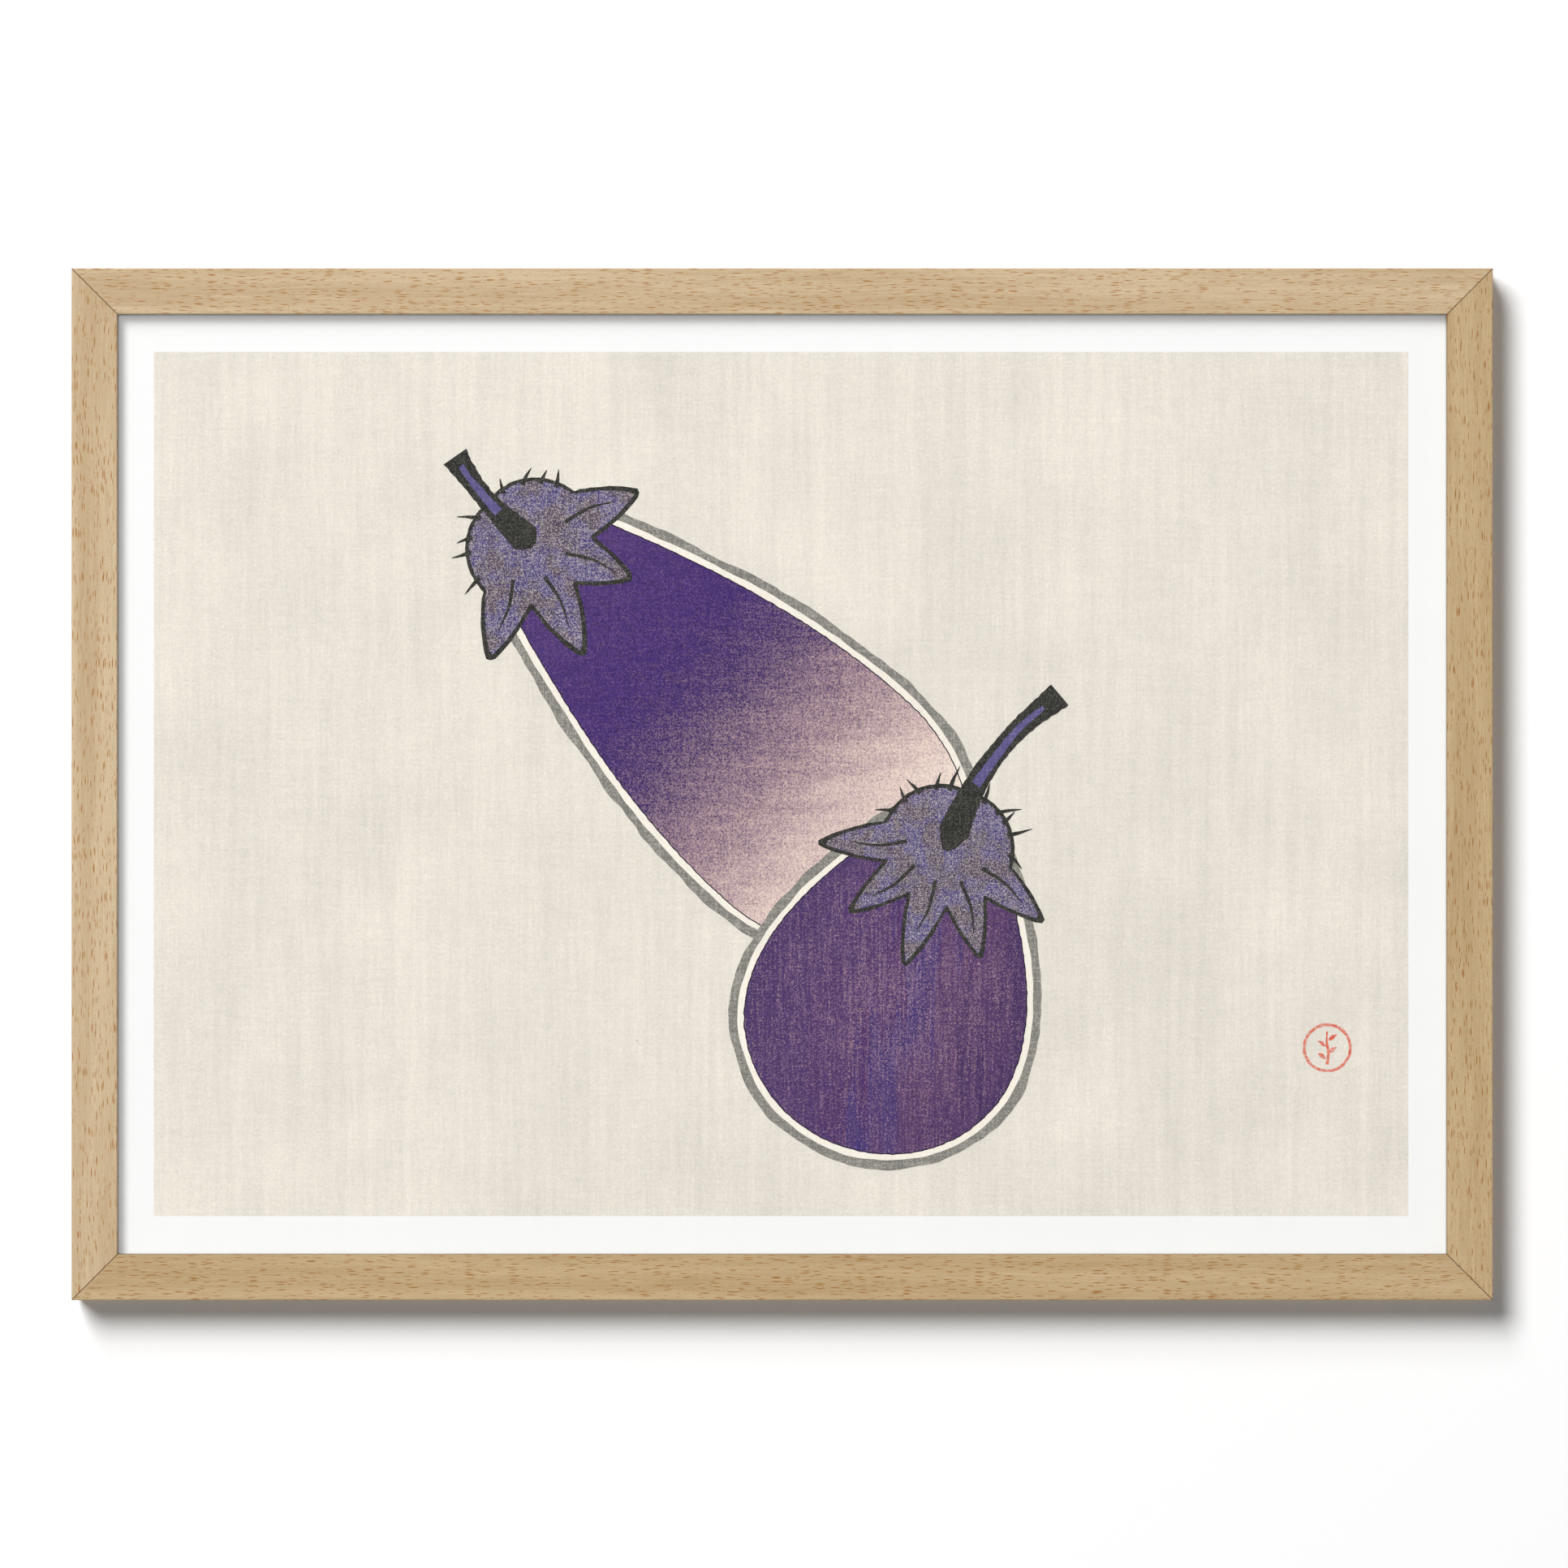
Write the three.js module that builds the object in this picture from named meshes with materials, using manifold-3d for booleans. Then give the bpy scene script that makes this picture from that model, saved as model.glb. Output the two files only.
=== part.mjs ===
// A framed landscape print that hangs on a wall, in millimetres.
// +Z is up, the picture faces -Y, and Y = 0 is the wall. X = 0 is the picture's middle,
// and Z = 0 is the height at which the two wall hooks carry the D-rings.
import * as THREE from "three";
import { mergeVertices } from "three/addons/utils/BufferGeometryUtils.js";
import Module from "manifold-3d";

const wasm = await Module();
wasm.setup();

// Overall sizes
const SIGHT_WIDTH = 594; // the opening seen from the front
const SIGHT_HEIGHT = 420;
const HOOK_DROP = 90; // from the frame's top edge down to the hooks
const STANDOFF = 5; // from the wall to the frame's back face

// The wooden moulding
const RAIL_WIDTH = 20.5;
const RAIL_DEPTH = 22;
const LIP_THICKNESS = 6; // wood in front of the glass
const LIP_COVER = 3; // how far the lip laps over the sheets
const SHEET_CLEARANCE = 1; // between a sheet's edge and the rebate wall
const ARRIS_RADIUS = 0.7; // eased edges of the front face
const MITRE_GAP = 0.1; // open hairline of each mitre

// The sheets in the rebate, front to back
const GLASS_THICKNESS = 2;
const PRINT_THICKNESS = 0.25;
const BOARD_THICKNESS = 3;
const STACK_GAP = 0.1; // between two faces that rest on each other

// Flexible steel tabs that hold the board in
const TAB_WIDTH = 8;
const TAB_THICKNESS = 0.5;
const TAB_REACH = 12; // over the board
const TAB_BITE = 8; // into the rebate wall
const TAB_SLOT_CLEARANCE = 0.1;
const TABS_ON_LONG_SIDE = 4;
const TABS_ON_SHORT_SIDE = 3;

// V-nails across each mitre
const NAIL_LEG = 4.5;
const NAIL_THICKNESS = 0.5;
const NAIL_HEIGHT = 10;
const NAIL_HALF_ANGLE = THREE.MathUtils.degToRad(55);
const NAIL_SETBACKS = [7, 15]; // apex to outer corner, along the mitre
const NAIL_RECESS = 0.3; // below the frame's back face
const NAIL_CLEARANCE = 0.15;

// D-ring hangers
const WIRE_RADIUS = 1.1;
const RING_CORNER = 1.7; // bend of the wire's centreline
const RING_RISE = 4; // straight sides, from the bar up to the bow
const RING_SIDE_CLEARANCE = 0.4; // between the ring's sides and the strap
const WIRE_SEAM = 0.3; // where the wire's two ends meet
const STRAP_WIDTH = 10;
const STRAP_THICKNESS = 0.8; // one layer; the folded strap has two
const PIVOT_CLEARANCE = 0.3;
const STRAP_FOOT = 5; // strap beyond the screw
const SCREW_DROP = 18; // from the ring's pivot down to the screw

// Pan-head wood screws
const SCREW_LENGTH = 12;
const SCREW_ROOT = 1.1;
const SCREW_CREST = 1.5;
const SCREW_PITCH = 1.3;
const SCREW_POINT = 2.6;
const HEAD_RADIUS = 3;
const HEAD_HEIGHT = 1.8;
const RECESS_WIDTH = 0.9;
const RECESS_SPAN = 3.2;
const RECESS_DEPTH = 1;
const SCREW_CLEARANCE = 0.2;

// Soft bumpers on the bottom rail
const BUMPER_RADIUS = 5.6;
const BUMPER_TIP_RADIUS = 2.4;
const BUMPER_INSET = 35; // from the frame's side

const ROUND_STEPS = 24;
const QUARTER_TURN = Math.PI / 2;

// Worked out from the sizes above
const REBATE_WIDTH = LIP_COVER + SHEET_CLEARANCE;
const WALL_WIDTH = RAIL_WIDTH - REBATE_WIDTH; // solid wood beside the rebate
const OUTER_WIDTH = SIGHT_WIDTH + 2 * RAIL_WIDTH;
const OUTER_HEIGHT = SIGHT_HEIGHT + 2 * RAIL_WIDTH;
const SHEET_WIDTH = SIGHT_WIDTH + 2 * LIP_COVER;
const SHEET_HEIGHT = SIGHT_HEIGHT + 2 * LIP_COVER;
const BACK_Y = -STANDOFF;
const FRONT_Y = BACK_Y - RAIL_DEPTH;
const LIP_Y = FRONT_Y + LIP_THICKNESS;
const GLASS_Y = LIP_Y + STACK_GAP;
const PRINT_Y = GLASS_Y + GLASS_THICKNESS + STACK_GAP;
const BOARD_Y = PRINT_Y + PRINT_THICKNESS + STACK_GAP;
const TAB_Y = BOARD_Y + BOARD_THICKNESS + STACK_GAP;
const CENTRE_Z = HOOK_DROP - OUTER_HEIGHT / 2;
const LOOP_INNER = WIRE_RADIUS + PIVOT_CLEARANCE;
const LOOP_OUTER = LOOP_INNER + STRAP_THICKNESS;
const RING_HALF_WIDTH = STRAP_WIDTH / 2 + RING_SIDE_CLEARANCE + WIRE_RADIUS;
const PIVOT_Z = -(RING_RISE + RING_HALF_WIDTH - WIRE_RADIUS);
const PIVOT_Y = BACK_Y + STACK_GAP + LOOP_OUTER;
const HANGER_X = OUTER_WIDTH / 2 - WALL_WIDTH / 2;

const beech = new THREE.MeshStandardMaterial({ color: 0xc9b08c, roughness: 0.6, metalness: 0 });
const glass = new THREE.MeshStandardMaterial({
  color: 0xf4f8f7,
  roughness: 0.03,
  metalness: 0,
  transparent: true,
  opacity: 0.12,
});
const paper = new THREE.MeshStandardMaterial({ color: 0xefeae0, roughness: 0.9, metalness: 0 });
const fibreboard = new THREE.MeshStandardMaterial({ color: 0x9a7650, roughness: 0.85, metalness: 0 });
const zincSteel = new THREE.MeshStandardMaterial({ color: 0xb4b6b8, roughness: 0.4, metalness: 1 });
const nickelSteel = new THREE.MeshStandardMaterial({ color: 0xc9c7c1, roughness: 0.25, metalness: 1 });
const bumperRubber = new THREE.MeshStandardMaterial({ color: 0xd8d8d2, roughness: 0.5, metalness: 0 });

// A closed geometry as a manifold-3d solid.
function solidOf(geometry) {
  const bare = new THREE.BufferGeometry();
  bare.setAttribute("position", geometry.getAttribute("position"));
  bare.setIndex(geometry.index);
  const merged = mergeVertices(bare, 1e-4);
  return new wasm.Manifold(
    new wasm.Mesh({
      numProp: 3,
      vertProperties: new Float32Array(merged.attributes.position.array),
      triVerts: new Uint32Array(merged.index.array),
    }),
  );
}

// The geometry that is left of one when the others are cut from it.
function cut(geometry, cutters) {
  const left = cutters.reduce((solid, cutter) => solid.subtract(solidOf(cutter)), solidOf(geometry));
  const mesh = left.getMesh();
  const made = new THREE.BufferGeometry();
  made.setAttribute("position", new THREE.BufferAttribute(mesh.vertProperties, 3));
  made.setIndex(new THREE.BufferAttribute(mesh.triVerts, 1));
  const flat = made.toNonIndexed();
  flat.computeVertexNormals();
  return flat;
}

function named(name, geometry, material) {
  const mesh = new THREE.Mesh(geometry, material);
  mesh.name = name;
  return mesh;
}

// A box from its lowest to its highest corner.
function block(low, high) {
  const size = high.map((value, i) => value - low[i]);
  const middle = high.map((value, i) => (value + low[i]) / 2);
  return new THREE.BoxGeometry(...size).translate(...middle);
}

// An outline drawn in X and Z, extruded along Y from one depth to another.
function plateXZ(shape, fromY, toY, curveSegments = 8) {
  const plate = new THREE.ExtrudeGeometry(shape, {
    depth: toY - fromY,
    bevelEnabled: false,
    curveSegments,
  });
  return plate.rotateX(QUARTER_TURN).translate(0, toY, 0);
}

// ---- Each side of the frame lies along the top of its own group, which is turned about Y ----

// The rail's section, across from its outer edge and up from its back face.
function railSection() {
  const section = new THREE.Shape();
  section.moveTo(0, 0);
  section.lineTo(WALL_WIDTH, 0);
  section.lineTo(WALL_WIDTH, RAIL_DEPTH - LIP_THICKNESS);
  section.lineTo(RAIL_WIDTH, RAIL_DEPTH - LIP_THICKNESS);
  section.absarc(RAIL_WIDTH - ARRIS_RADIUS, RAIL_DEPTH - ARRIS_RADIUS, ARRIS_RADIUS, 0, QUARTER_TURN);
  section.absarc(ARRIS_RADIUS, RAIL_DEPTH - ARRIS_RADIUS, ARRIS_RADIUS, QUARTER_TURN, Math.PI);
  return section;
}

// A rail with mitred ends: each end vertex moves in by its distance across the rail.
function mitredRail(length, edge) {
  const rail = new THREE.ExtrudeGeometry(railSection(), {
    depth: length,
    bevelEnabled: false,
    curveSegments: 4,
  });
  const place = rail.attributes.position;
  const endGap = (MITRE_GAP / 2) * Math.SQRT2;
  for (let i = 0; i < place.count; i++) {
    const across = place.getX(i);
    const half = length / 2 - across - endGap;
    const along = place.getZ(i) > length / 2 ? -half : half;
    place.setXYZ(i, along, BACK_Y - place.getY(i), edge - across);
  }
  return rail;
}

// A V-nail's outline: a V of thin strip whose fold points at the outer corner.
function nailOutline(apexX, apexZ, grow) {
  const inward = THREE.MathUtils.degToRad(225);
  const half = NAIL_THICKNESS / 2 + grow;
  const reach = NAIL_LEG + grow;
  const foldOut = half / Math.sin(NAIL_HALF_ANGLE);
  const at = (angle, along, side) => {
    const turn = angle + QUARTER_TURN;
    return new THREE.Vector2(
      apexX + along * Math.cos(angle) + side * Math.cos(turn),
      apexZ + along * Math.sin(angle) + side * Math.sin(turn),
    );
  };
  const oneLeg = inward - NAIL_HALF_ANGLE;
  const otherLeg = inward + NAIL_HALF_ANGLE;
  return new THREE.Shape([
    at(inward, -foldOut, 0),
    at(oneLeg, reach, -half),
    at(oneLeg, reach, half),
    at(inward, foldOut, 0),
    at(otherLeg, reach, -half),
    at(otherLeg, reach, half),
  ]);
}

function nailBody(length, edge, setback, grow, fromY, toY) {
  const in45 = setback / Math.SQRT2;
  return plateXZ(nailOutline(length / 2 - in45, edge - in45, grow), fromY, toY);
}

// Pockets for the nails of both ends of a rail.
function nailPockets(length, edge) {
  const floorY = BACK_Y - NAIL_RECESS - NAIL_HEIGHT - NAIL_CLEARANCE;
  return NAIL_SETBACKS.flatMap((setback) => {
    const right = nailBody(length, edge, setback, NAIL_CLEARANCE, floorY, BACK_Y + 1);
    const left = right.clone().rotateZ(Math.PI).translate(0, floorY + BACK_Y + 1, 0);
    return [right, left];
  });
}

// Places along a rail where its tabs stand.
function tabPlaces(length, count) {
  const spacing = (length - 2 * RAIL_WIDTH) / count;
  return Array.from({ length: count }, (_, i) => (i - (count - 1) / 2) * spacing);
}

// A tab: a flat strip with a pointed end that bites into the wood and a round free end.
function tabGeometry(edge) {
  const wall = edge - WALL_WIDTH;
  const half = TAB_WIDTH / 2;
  const shape = new THREE.Shape();
  shape.moveTo(half, wall + TAB_BITE / 2);
  shape.lineTo(0, wall + TAB_BITE);
  shape.lineTo(-half, wall + TAB_BITE / 2);
  shape.absarc(0, wall - TAB_REACH + half, half, Math.PI, 2 * Math.PI);
  return plateXZ(shape, TAB_Y, TAB_Y + TAB_THICKNESS);
}

function tabSlot(x, edge) {
  const wall = edge - WALL_WIDTH;
  const half = TAB_WIDTH / 2 + TAB_SLOT_CLEARANCE;
  return block(
    [x - half, TAB_Y - TAB_SLOT_CLEARANCE, wall - 1],
    [x + half, TAB_Y + TAB_THICKNESS + TAB_SLOT_CLEARANCE, wall + TAB_BITE + TAB_SLOT_CLEARANCE],
  );
}

// One side: its rail, the nails of its right-hand mitre and its tabs.
function side(name, turn, length, edge, tabCount, moreCutters = []) {
  const group = new THREE.Group();
  group.rotation.y = turn;
  const places = tabPlaces(length, tabCount);
  const slots = places.map((x) => tabSlot(x, edge));
  const cutters = [...nailPockets(length, edge), ...slots, ...moreCutters];
  group.add(named(name, cut(mitredRail(length, edge), cutters), beech));
  const nailTop = BACK_Y - NAIL_RECESS;
  NAIL_SETBACKS.forEach((setback, i) => {
    const nail = nailBody(length, edge, setback, 0, nailTop - NAIL_HEIGHT, nailTop);
    group.add(named(`${name}_v_nail_${i + 1}`, nail, zincSteel));
  });
  places.forEach((x, i) => {
    const tab = named(`${name}_tab_${i + 1}`, tabGeometry(edge), zincSteel);
    tab.position.x = x;
    group.add(tab);
  });
  return group;
}

// ---- Sheets ----

function sheet(name, frontY, thickness, material) {
  const mesh = named(name, new THREE.BoxGeometry(SHEET_WIDTH, thickness, SHEET_HEIGHT), material);
  mesh.position.y = frontY + thickness / 2;
  return mesh;
}

// ---- Hangers, each in a group whose origin is on the ring's pivot ----

function ringGeometry() {
  const bow = new THREE.Path();
  const half = RING_HALF_WIDTH;
  bow.moveTo(WIRE_SEAM / 2, 0);
  bow.lineTo(half - RING_CORNER, 0);
  bow.absarc(half - RING_CORNER, RING_CORNER, RING_CORNER, -QUARTER_TURN, 0);
  bow.absarc(0, RING_RISE, half, 0, Math.PI);
  bow.absarc(-half + RING_CORNER, RING_CORNER, RING_CORNER, Math.PI, Math.PI + QUARTER_TURN);
  bow.lineTo(-WIRE_SEAM / 2, 0);
  const points = bow.getSpacedPoints(56).map((p) => new THREE.Vector3(p.x, 0, p.y));
  const wire = new THREE.Shape().absarc(0, 0, WIRE_RADIUS, 0, 2 * Math.PI);
  return new THREE.ExtrudeGeometry(wire, {
    extrudePath: new THREE.CatmullRomCurve3(points),
    steps: 56,
    curveSegments: 6,
  });
}

// The folded strap's side view, across from the frame's back and up from the pivot.
function strapSection() {
  const plate = 2 * STRAP_THICKNESS;
  const foot = -(SCREW_DROP + STRAP_FOOT);
  const leave = -THREE.MathUtils.degToRad(30); // where the outer layer leaves the loop
  const section = new THREE.Shape();
  section.moveTo(-LOOP_OUTER, foot);
  section.lineTo(plate - LOOP_OUTER, foot);
  section.lineTo(plate - LOOP_OUTER, -2.2 * LOOP_OUTER);
  section.absarc(0, 0, LOOP_OUTER, leave, Math.PI);
  const hole = new THREE.Path().absarc(0, 0, LOOP_INNER, 0, 2 * Math.PI, true);
  section.holes.push(hole);
  return section;
}

function strapGeometry() {
  const strap = new THREE.ExtrudeGeometry(strapSection(), {
    depth: STRAP_WIDTH,
    bevelEnabled: false,
    curveSegments: ROUND_STEPS / 2,
  });
  // The section's first axis becomes Y and its second Z, so its depth runs along X.
  strap.applyMatrix4(
    new THREE.Matrix4().makeBasis(
      new THREE.Vector3(0, 1, 0),
      new THREE.Vector3(0, 0, 1),
      new THREE.Vector3(1, 0, 0),
    ),
  );
  strap.translate(-STRAP_WIDTH / 2, 0, 0);
  const hole = new THREE.CylinderGeometry(
    SCREW_CREST + SCREW_CLEARANCE,
    SCREW_CREST + SCREW_CLEARANCE,
    4 * LOOP_OUTER,
    ROUND_STEPS,
  ).translate(0, 0, -SCREW_DROP);
  return cut(strap, [hole]);
}

// A screw along -Y, with the underside of its head at Y = 0.
function screwGeometry() {
  const profile = [new THREE.Vector2(0, -SCREW_LENGTH), new THREE.Vector2(SCREW_ROOT, SCREW_POINT - SCREW_LENGTH)];
  const threadTop = -SCREW_PITCH;
  for (let y = SCREW_POINT - SCREW_LENGTH + SCREW_PITCH; y < threadTop; y += SCREW_PITCH) {
    profile.push(new THREE.Vector2(SCREW_ROOT, y - SCREW_PITCH / 4));
    profile.push(new THREE.Vector2(SCREW_CREST, y));
    profile.push(new THREE.Vector2(SCREW_ROOT, y + SCREW_PITCH / 4));
  }
  profile.push(new THREE.Vector2(SCREW_ROOT, 0), new THREE.Vector2(HEAD_RADIUS, 0));
  const dome = new THREE.Path().absellipse(0, HEAD_HEIGHT / 3, HEAD_RADIUS, (HEAD_HEIGHT * 2) / 3, 0, QUARTER_TURN);
  profile.push(...dome.getPoints(5));
  const turned = new THREE.LatheGeometry(profile, ROUND_STEPS);
  const slot = [0, QUARTER_TURN].map((turn) =>
    block(
      [-RECESS_SPAN / 2, HEAD_HEIGHT - RECESS_DEPTH, -RECESS_WIDTH / 2],
      [RECESS_SPAN / 2, HEAD_HEIGHT + 1, RECESS_WIDTH / 2],
    ).rotateY(turn),
  );
  return cut(turned, slot);
}

// The hole that a hanger's screw has made in the wood.
function screwHole(x, edge) {
  const depth = SCREW_LENGTH - 2 * STRAP_THICKNESS;
  return new THREE.CylinderGeometry(
    SCREW_CREST + SCREW_CLEARANCE,
    SCREW_CREST + SCREW_CLEARANCE,
    depth + 2,
    ROUND_STEPS,
  ).translate(x, BACK_Y + 1 - depth / 2, edge - WALL_WIDTH / 2);
}

function hanger(prefix, x) {
  const group = new THREE.Group();
  group.position.set(x, PIVOT_Y, PIVOT_Z - CENTRE_Z);
  group.add(named(`${prefix}_d_ring`, ringGeometry(), nickelSteel));
  group.add(named(`${prefix}_hanger_strap`, strapGeometry(), nickelSteel));
  const screw = named(`${prefix}_hanger_screw`, screwGeometry(), zincSteel);
  screw.position.set(0, 2 * STRAP_THICKNESS - LOOP_OUTER + STACK_GAP, -SCREW_DROP);
  group.add(screw);
  return group;
}

// ---- Bumpers ----

function bumperGeometry() {
  const height = STANDOFF - STACK_GAP;
  const dome = new THREE.SplineCurve([
    new THREE.Vector2(BUMPER_RADIUS, height * 0.18),
    new THREE.Vector2(BUMPER_RADIUS * 0.93, height * 0.55),
    new THREE.Vector2((BUMPER_RADIUS + BUMPER_TIP_RADIUS) * 0.42, height * 0.93),
    new THREE.Vector2(BUMPER_TIP_RADIUS, height),
  ]);
  const profile = [
    new THREE.Vector2(0, 0),
    new THREE.Vector2(BUMPER_RADIUS, 0),
    ...dome.getPoints(8),
    new THREE.Vector2(0, height),
  ];
  return new THREE.LatheGeometry(profile, ROUND_STEPS);
}

function bumper(name, x) {
  const mesh = named(name, bumperGeometry(), bumperRubber);
  mesh.position.set(x, BACK_Y + STACK_GAP, WALL_WIDTH / 2 - OUTER_HEIGHT / 2);
  return mesh;
}

// ---- The picture, in a group whose origin is the middle of the frame, on the wall ----

const picture = new THREE.Group();
picture.position.z = CENTRE_Z;

const screwRise = PIVOT_Z - SCREW_DROP - CENTRE_Z; // above the frame's middle
picture.add(side("top_rail", 0, OUTER_WIDTH, OUTER_HEIGHT / 2, TABS_ON_LONG_SIDE));
picture.add(side("bottom_rail", Math.PI, OUTER_WIDTH, OUTER_HEIGHT / 2, TABS_ON_LONG_SIDE));
picture.add(
  side("right_stile", QUARTER_TURN, OUTER_HEIGHT, OUTER_WIDTH / 2, TABS_ON_SHORT_SIDE, [
    screwHole(-screwRise, OUTER_WIDTH / 2),
  ]),
);
picture.add(
  side("left_stile", -QUARTER_TURN, OUTER_HEIGHT, OUTER_WIDTH / 2, TABS_ON_SHORT_SIDE, [
    screwHole(screwRise, OUTER_WIDTH / 2),
  ]),
);

picture.add(sheet("glass_pane", GLASS_Y, GLASS_THICKNESS, glass));
picture.add(sheet("print_sheet", PRINT_Y, PRINT_THICKNESS, paper));
picture.add(sheet("backing_board", BOARD_Y, BOARD_THICKNESS, fibreboard));

picture.add(hanger("left", -HANGER_X));
picture.add(hanger("right", HANGER_X));

const bumperX = OUTER_WIDTH / 2 - BUMPER_INSET;
picture.add(bumper("left_bumper", -bumperX));
picture.add(bumper("right_bumper", bumperX));

const framedPrint = new THREE.Group();
framedPrint.add(picture);

export default framedPrint;
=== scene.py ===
import math
from random import Random

import bmesh
import bpy
from bpy.props import FloatProperty, FloatVectorProperty, IntProperty, PointerProperty
from mathutils import Matrix, Vector, noise
from mathutils.geometry import tessellate_polygon


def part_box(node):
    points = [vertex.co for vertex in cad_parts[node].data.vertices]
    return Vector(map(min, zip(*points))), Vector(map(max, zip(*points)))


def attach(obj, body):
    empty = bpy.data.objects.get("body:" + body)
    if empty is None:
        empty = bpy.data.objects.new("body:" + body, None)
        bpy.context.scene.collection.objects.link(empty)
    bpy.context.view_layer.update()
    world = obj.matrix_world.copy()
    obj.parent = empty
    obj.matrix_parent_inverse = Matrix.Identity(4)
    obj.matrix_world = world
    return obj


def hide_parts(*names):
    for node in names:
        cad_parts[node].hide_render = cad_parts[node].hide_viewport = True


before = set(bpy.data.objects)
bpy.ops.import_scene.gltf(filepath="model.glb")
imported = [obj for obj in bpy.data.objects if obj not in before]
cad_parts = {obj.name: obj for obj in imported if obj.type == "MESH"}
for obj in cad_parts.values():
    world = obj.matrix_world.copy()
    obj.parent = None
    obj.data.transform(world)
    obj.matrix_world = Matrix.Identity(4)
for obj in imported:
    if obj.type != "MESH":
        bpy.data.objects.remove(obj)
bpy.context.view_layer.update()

bl_info = {
    "name": "Framed print",
    "version": (1, 0, 0),
    "blender": (4, 5, 0),
    "location": "3D View > Sidebar > Framed print",
    "description": "Builds the looks of a framed landscape print round its packed model",
    "category": "Object",
}

MM = 0.001
RAILS = ("top_rail", "bottom_rail", "left_stile", "right_stile")
SIDES = ("left", "right")

# Where things are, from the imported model
FRAME_LOW = Vector(min(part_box(rail)[0][i] for rail in RAILS) for i in range(3))
FRAME_HIGH = Vector(max(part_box(rail)[1][i] for rail in RAILS) for i in range(3))
CENTRE = (FRAME_LOW + FRAME_HIGH) / 2
PRINT_LOW, PRINT_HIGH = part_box("print_sheet")

# Room for the inks between the sheet and the glass
PRINT_BACKSET = 0.2 * MM  # how far the bare sheet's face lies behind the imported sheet's
SHEET_BACK = 0.03 * MM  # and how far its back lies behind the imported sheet's back


def linear(red, green, blue):
    """A display colour of 0 to 255 as the scene-linear colour that Blender's sockets take."""

    def channel(value):
        share = value / 255
        return share / 12.92 if share <= 0.04045 else ((share + 0.055) / 1.055) ** 2.4

    return channel(red), channel(green), channel(blue)


# ---- Properties ----


def colour(name, description, display):
    return FloatVectorProperty(
        name=name,
        description=description,
        subtype="COLOR",
        size=3,
        min=0,
        max=1,
        default=linear(*display),
    )


def length(name, description, millimetres):
    return FloatProperty(
        name=name,
        description=description,
        subtype="DISTANCE",
        unit="LENGTH",
        default=millimetres * MM,
        precision=5,
    )


def share(name, description, default):
    return FloatProperty(
        name=name, description=description, default=default, min=0, max=1, subtype="FACTOR"
    )


def watts(name, description, power):
    return FloatProperty(name=name, description=description, default=power, min=0, unit="POWER")


class WoodLook(bpy.types.PropertyGroup):
    """The beech of the frame."""

    base: colour("Wood", "Colour between the flecks", (177, 160, 133))
    streak: colour("Streak", "Colour of the fine darker grain", (156, 137, 108))
    fleck: colour("Fleck", "Colour of the short ray flecks", (134, 92, 44))
    joint: colour("Joint line", "Colour along the mitres", (74, 48, 28))
    fleck_length: length("Fleck cell length", "Room along the grain for one fleck", 6.5)
    fleck_width: length("Fleck cell width", "Room across the grain for one fleck", 0.66)
    joint_width: length("Joint line", "Half the width of the dark line along a mitre", 0.16)
    # Painted shade: the right and bottom rails are tinted darker, as if less light falls on them
    painted_shade_tint: colour("Darker rails", "Multiplies the tones of the right and bottom rails", (242, 238, 226))


class PrintLook(bpy.types.PropertyGroup):
    """The sheet, its paper and its inks."""

    margin: colour("Margin", "Bare paper round the picture", (207, 207, 207))
    ground: colour("Ground", "Toned paper inside the picture", (194, 188, 179))
    halo: colour("Pale ground", "Untoned paper beside the fruit", (207, 201, 191))
    violet: colour("Violet", "Deep ink of the fruit", (54, 36, 92))
    plum: colour("Plum", "Warmer ink of the fruit in front", (64, 40, 84))
    mauve: colour("Mauve", "Thin ink where the violet is wiped away", (168, 138, 146))
    calyx: colour("Calyx", "Warm ink of the caps", (58, 46, 66))
    indigo: colour("Indigo", "Cool ink that clouds into the caps", (58, 50, 99))
    grey: colour("Grey", "Thin ink of the outlines", (102, 101, 96))
    black: colour("Black", "Ink of the stems, thorns and edges", (32, 32, 30))
    red: colour("Red", "Ink of the plain stamp", (184, 66, 38))
    picture_width: length("Picture width", "Width of the toned ground", 561.6)
    picture_height: length("Picture height", "Height of the toned ground", 386.8)
    ink_step: length("Ink step", "Thickness of one layer of ink", 0.019)


class StillLifeSizes(bpy.types.PropertyGroup):
    """The plain aubergines of the picture."""

    long_length: length("Long fruit", "Length of the long fruit", 250)
    long_width: length("Long fruit width", "Width of the long fruit", 120)
    long_neck: length("Long fruit neck", "Width of the long fruit at its neck", 44)
    front_length: length("Front fruit", "Length of the fruit in front", 145)
    front_width: length("Front fruit width", "Width of the fruit in front", 125)
    front_neck: length("Front fruit neck", "Width of the fruit in front at its neck", 50)
    cap_radius: length("Cap", "Rough reach of a cap from its middle", 48)
    short_stem: length("Short stem", "Stem of the long fruit", 48)
    tall_stem: length("Tall stem", "Stem of the fruit in front", 78)


class HardwareLook(bpy.types.PropertyGroup):
    """The steel, board and bumpers at the back."""

    zinc: colour("Zinc", "Plating of the tabs, nails and screws", (196, 198, 200))
    nickel: colour("Nickel", "Plating of the hangers", (205, 202, 194))
    wire: length("Ring wire", "Diameter of a ring's wire", 2.2)
    strap: length("Strap", "Thickness of a strap's strip", 0.8)
    board: colour("Board", "Fibreboard", (158, 130, 98))
    bumper: colour("Bumper", "Soft bumpers", (214, 214, 206))


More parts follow.
